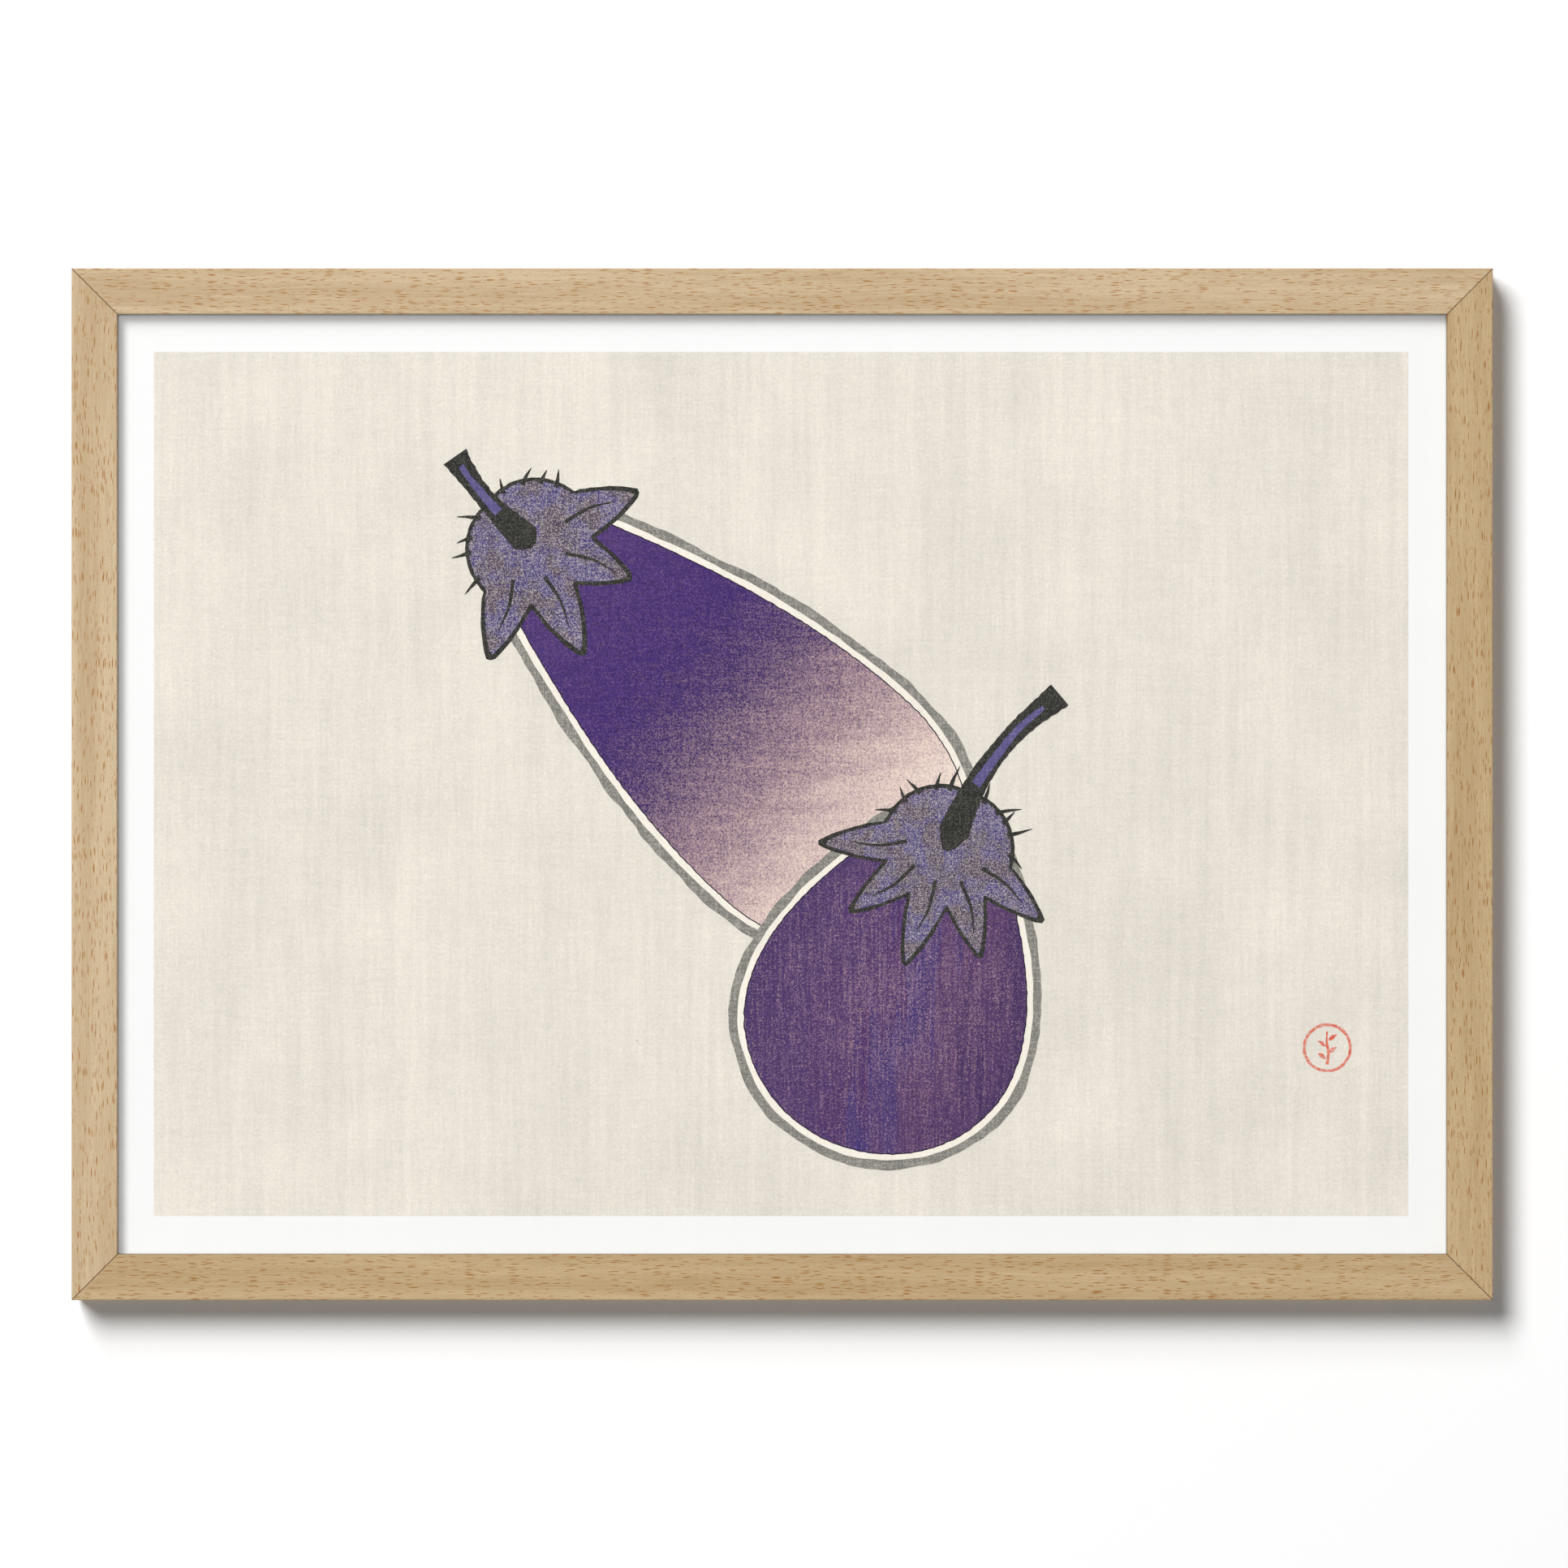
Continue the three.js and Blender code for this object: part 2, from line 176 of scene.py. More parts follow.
class StageLook(bpy.types.PropertyGroup):
    """The wall, the floor, the lights and the camera."""

    key: watts("Key", "Power of the key light", 630.0)
    high: watts("High", "Power of the steeper light", 150.0)
    front: watts("Front", "Power of the light that the wall is kept out of", 220.0)
    back_key: watts("Back key", "Power of the key light behind", 38.0)
    back_fill: watts("Back fill", "Power of the softer light behind", 24.0)
    fill: share("Fill", "Strength of the even light from all round", 0.14)
    wall_glow: share("Wall glow", "Light that the wall itself gives", 0.06)
    view_width: length("View width", "Width of what the camera sees at the frame's face", 700.4)
    lens: FloatProperty(name="Lens", description="Focal length in millimetres", default=200.0, min=20)


class FramedPrintSettings(bpy.types.PropertyGroup):
    """Everything that can be set."""

    wood: PointerProperty(type=WoodLook)
    sheet: PointerProperty(type=PrintLook)
    still_life: PointerProperty(type=StillLifeSizes)
    hardware: PointerProperty(type=HardwareLook)
    stage: PointerProperty(type=StageLook)
    seed: IntProperty(name="Seed", description="Start of every uneven line", default=7)


def settings():
    return bpy.context.scene.framed_print


# ---- Shader building ----


class Shader:
    """A material with short ways to add and join its nodes."""

    def __init__(self, name):
        self.material = bpy.data.materials.new(name)
        self.material.use_nodes = True
        self.tree = self.material.node_tree
        self.surface = self.tree.nodes["Principled BSDF"]

    def node(self, kind, inputs=None, **values):
        made = self.tree.nodes.new(kind)
        for key, value in values.items():
            setattr(made, key, value)
        for key, value in (inputs or {}).items():
            self.feed(made.inputs[key], value)
        return made

    def feed(self, socket, value):
        if isinstance(value, bpy.types.NodeSocket):
            self.tree.links.new(value, socket)
        elif isinstance(value, (tuple, list, Vector)) and socket.type == "RGBA":
            socket.default_value = (*value[:3], 1.0)
        else:
            socket.default_value = value

    def maths(self, operation, a, b=0.0, clamp=False):
        made = self.node("ShaderNodeMath", {0: a, 1: b}, operation=operation, use_clamp=clamp)
        return made.outputs[0]

    def line(self, value, low, high, to_low=0.0, to_high=1.0, kind="LINEAR"):
        """A straight run of value between low and high."""
        made = self.node(
            "ShaderNodeMapRange",
            {"Value": value, "From Min": low, "From Max": high, "To Min": to_low, "To Max": to_high},
            interpolation_type=kind,
        )
        return made.outputs["Result"]

    def step(self, value, low, high):
        """A smooth step from 0 to 1 as value goes from low to high."""
        return self.line(value, low, high, kind="SMOOTHSTEP")

    def mix(self, factor, a, b, blend="MIX"):
        made = self.node("ShaderNodeMix", data_type="RGBA", blend_type=blend)
        self.feed(made.inputs[0], factor)
        self.feed(made.inputs[6], a)
        self.feed(made.inputs[7], b)
        return made.outputs[2]

    def ramp(self, factor, stops):
        made = self.node("ShaderNodeValToRGB", {"Fac": factor})
        elements = made.color_ramp.elements
        while len(elements) < len(stops):
            elements.new(0.5)
        for element, (place, tone) in zip(elements, stops):
            element.position = place
            element.color = (*tone, 1.0)
        return made.outputs["Color"]

    def millimetres(self):
        """The place on the piece, in millimetres from the frame's middle."""
        place = self.node("ShaderNodeTexCoord").outputs["Object"]
        made = self.node("ShaderNodeVectorMath", {0: place, 1: tuple(CENTRE)}, operation="SUBTRACT")
        scaled = self.node("ShaderNodeVectorMath", {0: made.outputs[0]}, operation="SCALE")
        scaled.inputs["Scale"].default_value = 1 / MM
        return scaled.outputs[0]

    def stretched(self, vector, scale, offset=(0, 0, 0)):
        made = self.node("ShaderNodeMapping", {"Vector": vector, "Location": offset, "Scale": scale})
        return made.outputs[0]

    def noise(self, vector, scale=(1, 1, 1), offset=(0, 0, 0), detail=2.0, roughness=0.5, distortion=0.0):
        made = self.node(
            "ShaderNodeTexNoise",
            {
                "Vector": self.stretched(vector, scale, offset),
                "Scale": 1.0,
                "Detail": detail,
                "Roughness": roughness,
                "Distortion": distortion,
            },
        )
        return made.outputs["Fac"]

    def scaled(self, tone, amount):
        """The tone times an amount that varies over the piece."""
        return self.node("ShaderNodeVectorMath", {0: tone, "Scale": amount}, operation="SCALE").outputs[0]

    def cells(self, vector, scale, offset=(0, 0, 0)):
        """Uneven cells: the distance from a cell's middle, and three chances that each cell has."""
        placed = self.stretched(vector, scale, offset)
        made = self.node("ShaderNodeTexVoronoi", {"Vector": placed, "Scale": 1.0}).outputs
        return made["Distance"], self.node("ShaderNodeSeparateColor", {0: made["Color"]}).outputs

    def bump(self, height, strength, distance_mm):
        distance = distance_mm * MM
        made = self.node("ShaderNodeBump", {"Height": height, "Strength": strength, "Distance": distance})
        self.tree.links.new(made.outputs[0], self.surface.inputs["Normal"])

    def finish(self, base, roughness, **uniform):
        self.feed(self.surface.inputs["Base Color"], base)
        self.feed(self.surface.inputs["Roughness"], roughness)
        for key, value in uniform.items():
            self.feed(self.surface.inputs[key.replace("_", " ")], value)
        return self.material


def dress(obj, material):
    obj.data.materials.clear()
    obj.data.materials.append(material)
    return obj


# ---- Mesh building ----


def smooth(mesh, degrees):
    """Smooth shading, with a sharp edge where two faces meet at more than an angle."""
    mesh.shade_smooth()
    mesh.set_sharp_from_angle(angle=math.radians(degrees))


def mesh_object(name, bm, material=None, smooth_angle=None):
    """A new object whose place is in its mesh, from a bmesh that is then freed."""
    mesh = bpy.data.meshes.new(name)
    bm.to_mesh(mesh)
    bm.free()
    if smooth_angle is not None:
        smooth(mesh, smooth_angle)
    obj = bpy.data.objects.new(name, mesh)
    bpy.context.scene.collection.objects.link(obj)
    if material:
        mesh.materials.append(material)
    return obj


def finish_piece(obj, body, slot, *nodes):
    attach(obj, body)
    if nodes:
        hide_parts(*nodes)
    return obj


def apply_modifiers(obj):
    """The object with its modifiers worked into its mesh."""
    graph = bpy.context.evaluated_depsgraph_get()
    made = bpy.data.meshes.new_from_object(obj.evaluated_get(graph))
    old = obj.data
    obj.modifiers.clear()
    obj.data = made
    made.name = obj.name
    bpy.data.meshes.remove(old)
    return obj


def arc(middle, radius, start, end, steps):
    """Points round part of a circle, between two angles in degrees."""
    turns = (math.radians(start + (end - start) * k / steps) for k in range(steps + 1))
    return [(middle[0] + radius * math.cos(t), middle[1] + radius * math.sin(t)) for t in turns]


def bridge(bm, one, two):
    """Faces between two closed rows of points, of which one may be a single pole."""
    count = max(len(one), len(two))
    for k in range(count):
        j = (k + 1) % count
        corners = (one[k % len(one)], one[j % len(one)], two[j % len(two)], two[k % len(two)])
        bm.faces.new(list(dict.fromkeys(corners)))


def turned(name, profile, place, material, segments):
    """A closed shape turned about an axis along Y. profile is (radius, y), from one pole to the other."""
    bm = bmesh.new()
    rows = []
    for radius, y in profile:
        if radius == 0.0:
            rows.append([bm.verts.new((place.x, y, place.z))])
            continue
        row = []
        for k in range(segments):
            turn = 2 * math.pi * k / segments
            spot = (place.x + radius * math.cos(turn), y, place.z + radius * math.sin(turn))
            row.append(bm.verts.new(spot))
        rows.append(row)
    for one, two in zip(rows, rows[1:]):
        bridge(bm, one, two)
    bmesh.ops.recalc_face_normals(bm, faces=bm.faces)
    return mesh_object(name, bm, material, 35)


def middle_of(node):
    low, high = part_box(node)
    return (low + high) / 2


class NodeTree:
    """A geometry node tree with ways to add inputs, nodes and links."""

    def __init__(self, name):
        self.tree = bpy.data.node_groups.new(name, "GeometryNodeTree")
        self.tree.interface.new_socket("Places", in_out="INPUT", socket_type="NodeSocketGeometry")
        self.tree.interface.new_socket("Geometry", in_out="OUTPUT", socket_type="NodeSocketGeometry")
        self.given = self.tree.nodes.new("NodeGroupInput")
        self.values = {}

    def size(self, name, value):
        """A named input for a size, with the value that the modifier is given."""
        socket = self.tree.interface.new_socket(name, in_out="INPUT", socket_type="NodeSocketFloat")
        socket.subtype = "DISTANCE"
        socket.default_value = value
        self.values[socket.identifier] = value
        return self.given.outputs[name]

    def node(self, kind, inputs=None, **values):
        made = self.tree.nodes.new(kind)
        for key, value in values.items():
            setattr(made, key, value)
        for key, value in (inputs or {}).items():
            if isinstance(value, (list, tuple)) and value and isinstance(value[0], bpy.types.NodeSocket):
                for one in value:
                    self.tree.links.new(one, made.inputs[key])
            elif isinstance(value, bpy.types.NodeSocket):
                self.tree.links.new(value, made.inputs[key])
            else:
                made.inputs[key].default_value = value
        return made

    def result(self, kind, inputs=None, **values):
        """The first output of a new node."""
        return self.node(kind, inputs, **values).outputs[0]

    def maths(self, operation, a, b):
        return self.result("ShaderNodeMath", {0: a, 1: b}, operation=operation)

    def vector(self, x=0.0, y=0.0, z=0.0):
        return self.result("ShaderNodeCombineXYZ", {0: x, 1: y, 2: z})

    def moved(self, geometry, offset):
        return self.result("GeometryNodeTransform", {"Geometry": geometry, "Translation": offset})

    def joined(self, *parts):
        return self.result("GeometryNodeJoinGeometry", {0: parts})

    def is_number(self, index, number):
        return self.result("FunctionNodeCompare", {2: index, 3: number}, data_type="INT", operation="EQUAL")

    def chosen(self, test, yes, no):
        inputs = {"Switch": test, "False": no, "True": yes}
        return self.result("GeometryNodeSwitch", inputs, input_type="VECTOR")

    def plate(self, curves, thickness):
        """Closed curves filled and thickened along +Z into a closed solid."""
        filled = self.result("GeometryNodeFillCurve", {"Curve": curves})
        raised = {"Mesh": filled, "Offset": (0, 0, 1), "Offset Scale": thickness, "Individual": False}
        grown = self.result("GeometryNodeExtrudeMesh", raised)
        under = self.result("GeometryNodeFlipFaces", {0: filled})
        whole = self.joined(under, grown)
        return self.result("GeometryNodeMergeByDistance", {"Geometry": whole, "Distance": 1e-6})

    def round_ended(self, width, height):
        """A strip with round ends, as a closed curve along Y."""
        size = {"Width": width, "Height": height}
        strip = self.result("GeometryNodeCurvePrimitiveQuadrilateral", size)
        radius = self.maths("MULTIPLY", width, 0.49)  # just under half, so that two bends don't meet
        rounding = {"Curve": strip, "Radius": radius, "Count": 10, "Limit Radius": True}
        return self.result("GeometryNodeFilletCurve", rounding, mode="POLY")

    def scatter(self, template, material):
        """The template, stood up so that it faces the back, on every place, and made real."""
        standing = {"Geometry": template, "Rotation": (math.pi / 2, 0, 0)}
        stood = self.result("GeometryNodeTransform", standing)
        turn = self.node("GeometryNodeInputNamedAttribute", {"Name": "turn"}, data_type="FLOAT_VECTOR")
        places, turns = self.given.outputs["Places"], turn.outputs["Attribute"]
        placed = {"Points": places, "Instance": stood, "Rotation": turns}
        spread = self.result("GeometryNodeInstanceOnPoints", placed)
        real = self.result("GeometryNodeRealizeInstances", {0: spread})
        done = self.result("GeometryNodeSetMaterial", {"Geometry": real, "Material": material})
        self.node("NodeGroupOutput", {0: done})
        return self


def tab_tree(material):
    """A flexible tab: a round-ended strip with a pressed rib and a small hole near its free end."""
    t = NodeTree("tab")
    width, long, thick = t.size("Width", 8 * MM), t.size("Length", 20 * MM), t.size("Thickness", 0.5 * MM)
    rib, rib_height = t.size("Rib width", 1.4 * MM), t.size("Rib height", 0.22 * MM)
    hole = t.size("Hole radius", 0.9 * MM)
    outline = t.round_ended(width, long)
    ring = t.result("GeometryNodeCurvePrimitiveCircle", {"Resolution": 20, "Radius": hole})
    from_middle = t.maths("SUBTRACT", t.maths("MULTIPLY", width, 0.42), t.maths("MULTIPLY", long, 0.5))
    low = t.maths("MULTIPLY", thick, -0.5)
    holed = t.plate(t.joined(outline, t.moved(ring, t.vector(y=from_middle))), thick)
    strip = t.moved(holed, t.vector(z=low))
    rib_line = t.round_ended(rib, t.maths("MULTIPLY", long, 0.42))
    raised = t.plate(rib_line, t.maths("ADD", rib_height, t.maths("MULTIPLY", thick, 0.5)))
    pressed = t.moved(raised, t.vector(z=t.maths("SUBTRACT", low, rib_height)))
    return t.scatter(t.joined(strip, pressed), material)


def nail_tree(material):
    """A nail bent to a V, seen from its edge, with its corner up and to the right."""
    t = NodeTree("v_nail")
    apex = t.size("Corner", 1.72 * MM)
    near, far = t.size("End across", 2.5 * MM), t.size("End along", 2.71 * MM)
    thick, tall = t.size("Thickness", 0.5 * MM), t.size("Height", 10 * MM)
    bend = t.size("Bend radius", 0.35 * MM)
    back = t.maths("MULTIPLY", far, -1.0)
    line = t.result("GeometryNodeMeshLine", {"Count": 3})
    index = t.result("GeometryNodeInputIndex")
    corner_or_end = t.chosen(t.is_number(index, 1), t.vector(apex, apex), t.vector(near, back))
    spot = t.chosen(t.is_number(index, 0), t.vector(back, near), corner_or_end)
    bent = t.result("GeometryNodeSetPosition", {"Geometry": line, "Position": spot})
    curve = t.result("GeometryNodeMeshToCurve", {0: bent})
    curve = t.result("GeometryNodeFilletCurve", {"Curve": curve, "Radius": bend, "Count": 4}, mode="POLY")
    curve = t.result("GeometryNodeSetCurveNormal", {"Curve": curve}, mode="Z_UP")
    section = t.result("GeometryNodeCurvePrimitiveQuadrilateral", {"Width": thick, "Height": tall})
    swept = {"Curve": curve, "Profile Curve": section, "Fill Caps": True}
    return t.scatter(t.result("GeometryNodeCurveToMesh", swept), material)


def scattered(name, places, node_tree):
    """The tree's shape at each (place, turn about Y in degrees), as a plain mesh."""
    mesh = bpy.data.meshes.new(name)
    mesh.from_pydata([tuple(place) for place, _ in places], [], [])
    turns = mesh.attributes.new("turn", "FLOAT_VECTOR", "POINT")
    for one, (_, turn) in zip(turns.data, places):
        one.vector = (0, math.radians(turn), 0)
    obj = bpy.data.objects.new(name, mesh)
    bpy.context.scene.collection.objects.link(obj)
    modifier = obj.modifiers.new(name, "NODES")
    modifier.node_group = node_tree.tree
    for identifier, value in node_tree.values.items():
        modifier[identifier] = value
    apply_modifiers(obj)
    if not obj.data.polygons:
        raise RuntimeError(f"{name} came out empty")
    bm = bmesh.new()
    bm.from_mesh(obj.data)
    bmesh.ops.recalc_face_normals(bm, faces=bm.faces)
    bm.to_mesh(obj.data)
    bm.free()
    smooth(obj.data, 35)
    return obj


# ---- Drawing on the sheet: every outline is in millimetres from the sheet's middle ----


def curve_through(points, spacing=0.8, closed=True):
    """A smooth line through points. A point with a third entry is a corner."""
    count = len(points)
    spans = range(count if closed else count - 1)
    line = []
    for i in spans:
        here, there = points[i], points[(i + 1) % count]
        before = points[i - 1] if (closed or i > 0) else here
        after = points[(i + 2) % count] if (closed or i + 2 < count) else there
        p1, p2 = Vector(here[:2]), Vector(there[:2])
        p0 = p1 - (p2 - p1) if len(here) > 2 else Vector(before[:2])
        p3 = p2 + (p2 - p1) if len(there) > 2 else Vector(after[:2])
        steps = max(2, round((p2 - p1).length / spacing))
        for k in range(steps):
            t = k / steps
            line.append(
                0.5
                * (
                    2 * p1
                    + (p2 - p0) * t
                    + (2 * p0 - 5 * p1 + 4 * p2 - p3) * t**2
                    + (3 * p1 - p0 - 3 * p2 + p3) * t**3
                )
            )
    if not closed:
        line.append(Vector(points[-1][:2]))
    return line


def normals_of(line, closed=True):
    count = len(line)
    found = []
    for i in range(count):
        back = line[i - 1] if (closed or i > 0) else line[i]
        front = line[(i + 1) % count] if (closed or i + 1 < count) else line[i]
        along = front - back
        along = along.normalized() if along.length > 1e-9 else Vector((1, 0))
        found.append(Vector((along.y, -along.x)))
    return found


def uneven(line, amount, seed, size=3.0, closed=True):
    """The line with a hand-cut wobble across it."""
    result = []
    for point, normal in zip(line, normals_of(line, closed)):
        coarse = noise.noise(Vector((point.x / size, point.y / size, seed)))
        fine = noise.noise(Vector((point.x * 3 / size, point.y * 3 / size, seed + 40)))
        result.append(point + normal * amount * (coarse + 0.5 * fine))
    return result


BRISTLES = 2.2  # size of the roughness along a stroke's sides
THINNEST = 0.06  # half the width of a stroke where it is thinnest


def brush(points, widths, seed, roughness=0.35, spacing=0.8):
    """The outline of a brush stroke along points, with its width given at each of them."""
    line = curve_through(points, spacing, closed=False)
    across = normals_of(line, closed=False)
    last = len(line) - 1
    sides = ([], [])
    for i, (point, normal) in enumerate(zip(line, across)):
        place = i / last * (len(widths) - 1)
        low = min(int(place), len(widths) - 2)
        width = widths[low] + (widths[low + 1] - widths[low]) * (place - low)
        for side, sign in zip(sides, (1, -1)):
            seeded = Vector((point.x / BRISTLES, point.y / BRISTLES, seed + 9 * sign))
            half = max(THINNEST, width / 2 + roughness * noise.noise(seeded))
            side.append(point + normal * sign * half)
    return sides[0] + sides[1][::-1]


def ink_slab(name, loops, level, material):
    """A thin closed slab of ink on the sheet, from one outline and any holes in it."""
    look = settings().sheet
    back = PRINT_LOW.y + PRINT_BACKSET
    front = back - level * look.ink_step
    bm = bmesh.new()
    flat = [[Vector((p.x, p.y, 0)) for p in loop] for loop in loops]
    points = [p for loop in flat for p in loop]

    def ring(depth):
        return [bm.verts.new((CENTRE.x + p.x * MM, depth, CENTRE.z + p.y * MM)) for p in points]

    fronts, backs = ring(front), ring(back)
    for a, b, c in tessellate_polygon(flat):
        turn = (points[b] - points[a]).cross(points[c] - points[a]).z
        if abs(turn) < 1e-9:
            continue
        if turn < 0:
            b, c = c, b
        for corners in ((fronts[a], fronts[b], fronts[c]), (backs[c], backs[b], backs[a])):
            if bm.faces.get(corners) is None:
                bm.faces.new(corners)
    start = 0
    for loop in flat:
        for i in range(len(loop)):
            a, b = start + i, start + (i + 1) % len(loop)
            bm.faces.new((fronts[a], backs[a], backs[b], fronts[b]))
        start += len(loop)
    bmesh.ops.recalc_face_normals(bm, faces=bm.faces)
    return finish_piece(mesh_object(name, bm, material), "frame", "print_paper")


SIDE_STEPS = 12  # points from a fruit's neck to where it is widest, and round its end

# A cap, with lengths as shares of its radius
CAP_SIDE = 86  # how far round from the axis its lobes go, in degrees
CAP_BODY = 0.6  # its reach between the lobes
LOBE_REACH = 0.52  # how much further a lobe goes
LOBE_VARIES = 0.35  # how much its size varies, by a seeded noise of about -1 to 1
BACK_DROP = 0.15  # how much nearer its round back comes


class Fruit:
    """A plain aubergine along a straight axis: a narrow neck that swells into an elliptical end."""

    def __init__(self, neck, heading, long, half, narrow, widest):
        turn = math.radians(heading)
        self.neck = Vector(neck)
        self.along = Vector((math.cos(turn), math.sin(turn)))
        self.across = Vector((-self.along.y, self.along.x))
        self.long, self.half, self.narrow, self.widest = long, half, narrow, widest

    def at(self, down, side):
        return self.neck + self.along * down + self.across * side

    def reaching(self, degrees, reach):
        """The point at a distance from the neck, at an angle from the axis."""
        turn = math.radians(degrees)
        return self.at(math.cos(turn) * reach, math.sin(turn) * reach)

    def outline(self):
        """Counter-clockwise from one side of the neck to the other."""
        swell = self.half - self.narrow
        side = []
        for k in range(SIDE_STEPS + 1):
            t = k / SIDE_STEPS
            side.append((t * self.widest * self.long, self.narrow + swell * math.sin(math.pi / 2 * t)))
        end = (1 - self.widest) * self.long
        for k in range(1, SIDE_STEPS):
            turn = math.radians(90 * k / SIDE_STEPS)
            side.append((self.widest * self.long + end * math.sin(turn), self.half * math.cos(turn)))
        points = [self.at(down, -out) for down, out in side] + [self.at(self.long, 0)]
        points += [self.at(down, out) for down, out in reversed(side)]
        first, last = points[0], points[-1]
        return curve_through([(*first, 1), *points[1:-1], (*last, 1)])

    def cap(self, radius, lobes, seed, grown=0.0):
        """A star of pointed lobes down the fruit with a round back, about the neck. grown is a share of
        the radius by which it is larger all round."""
        spread = 2 * CAP_SIDE / lobes
        line = []
        for turn in range(-180, 180, 2):
            if abs(turn) < CAP_SIDE:
                lobe, place = divmod(turn + CAP_SIDE, spread)
                wave = min(1.0, 1 - abs(2 * place / spread - 1) + 2.2 * grown)
                size = 1 + LOBE_VARIES * noise.noise(Vector((lobe * 3.7 + 0.5, seed + 0.5, 0.5)))
                reach = CAP_BODY + LOBE_REACH * size * wave**1.3
            else:
                reach = self.cap_back(turn)
            line.append(self.reaching(turn, radius * (reach + grown)))
        return line

    def cap_back(self, turn):
        """How far the round back of a cap reaches at an angle, as a share of its radius."""
        return CAP_BODY - BACK_DROP * (abs(turn) - CAP_SIDE) / (180 - CAP_SIDE)

    def measured(self, s, place, way):
        """In a shader: how far a place is from the neck in a direction, in millimetres."""
        neck = (self.neck.x, 0, self.neck.y)
        off = s.node("ShaderNodeVectorMath", {0: place, 1: neck}, operation="SUBTRACT").outputs[0]
        made = s.node("ShaderNodeVectorMath", {0: off, 1: (way.x, 0, way.y)}, operation="DOT_PRODUCT")
        return made.outputs["Value"]


def offset(line, distance):
    return [point + normal * distance for point, normal in zip(line, normals_of(line))]


# ---- Materials ----


def beech(name, upright, offset, tone):
    """Beech with ray flecks along the grain, fine streaks and a dark line at the mitres."""
    look = settings().wood
    s = Shader(name)
    place = s.millimetres()
    xyz = s.node("ShaderNodeSeparateXYZ", {0: place}).outputs
    along, across = (xyz[2], xyz[0]) if upright else (xyz[0], xyz[2])
    bare = s.node("ShaderNodeCombineXYZ", {0: along, 1: xyz[1], 2: across}).outputs[0]
    wander = s.noise(bare, (1 / 60, 1 / 60, 1 / 60), offset, detail=2.0)
    bent = s.maths("ADD", across, s.line(wander, 0, 1, -2.5, 2.5))
    grain = s.node("ShaderNodeCombineXYZ", {0: along, 1: xyz[1], 2: bent}).outputs[0]

    fleck_cell = (MM / look.fleck_length, MM / look.fleck_width * 0.8, MM / look.fleck_width)
    distance, chance = s.cells(grain, fleck_cell, offset)
    radius = s.line(chance[0], 0, 1, 0.14, 0.48)
    inside = s.maths("DIVIDE", distance, radius)
    fleck = s.maths("MULTIPLY", s.step(inside, 1.0, 0.5), s.line(chance[1], 0, 1, 0.65, 1.0))

    fine = s.noise(grain, (1 / 26, 1.2, 1.9), offset, detail=3.0, roughness=0.6)
    broad = s.noise(grain, (1 / 220, 1 / 14, 1 / 9), offset, detail=2.0)
    mottle = s.noise(place, (1.1, 1.1, 1.1), offset, detail=2.0, roughness=0.7)
    streaks = s.maths("ADD", s.line(fine, 0.35, 0.65, -0.1, 0.6), s.line(broad, 0.35, 0.65, -0.1, 0.5))
    # tone multiplies every wood colour; on the right and bottom rails it is painted shade
    base, streak, fleck_tone = (
        tuple(c * t for c, t in zip(part, tone)) for part in (look.base, look.streak, look.fleck)
    )
    wood = s.mix(streaks, base, streak)
    wood = s.mix(s.line(mottle, 0.25, 0.75, 0.0, 0.28), wood, fleck_tone)
    wood = s.mix(fleck, wood, fleck_tone)

    half = (FRAME_HIGH - FRAME_LOW) / 2 / MM
    from_side = s.maths("SUBTRACT", half.x, s.maths("ABSOLUTE", xyz[0]))
    from_end = s.maths("SUBTRACT", half.z, s.maths("ABSOLUTE", xyz[2]))
    off_mitre = s.maths("ABSOLUTE", s.maths("SUBTRACT", from_side, from_end))
    joint = s.step(off_mitre, look.joint_width / MM * 2.6, look.joint_width / MM * 0.8)
    wood = s.mix(s.maths("MULTIPLY", joint, 0.85), wood, tuple(look.joint))

    relief = s.maths("SUBTRACT", s.maths("MULTIPLY", fine, 0.5), s.maths("MULTIPLY", fleck, 0.7))
    s.bump(relief, 0.35, 0.08)
    shine = s.line(s.maths("ADD", fine, s.maths("MULTIPLY", fleck, 0.3)), 0.2, 1.0, 0.5, 0.68)
    return s.finish(wood, shine, Specular_IOR_Level=0.35)


def threads(s, place):
    """The faint crossed threads of the sheet, about 0.5."""
    across = s.noise(place, (1 / 14, 1, 1.3), (3, 0, 5), detail=2.0, roughness=0.6)
    up = s.noise(place, (1.3, 1, 1 / 14), (8, 0, 2), detail=2.0, roughness=0.6)
    return s.maths("MULTIPLY", s.maths("ADD", across, up), 0.5)


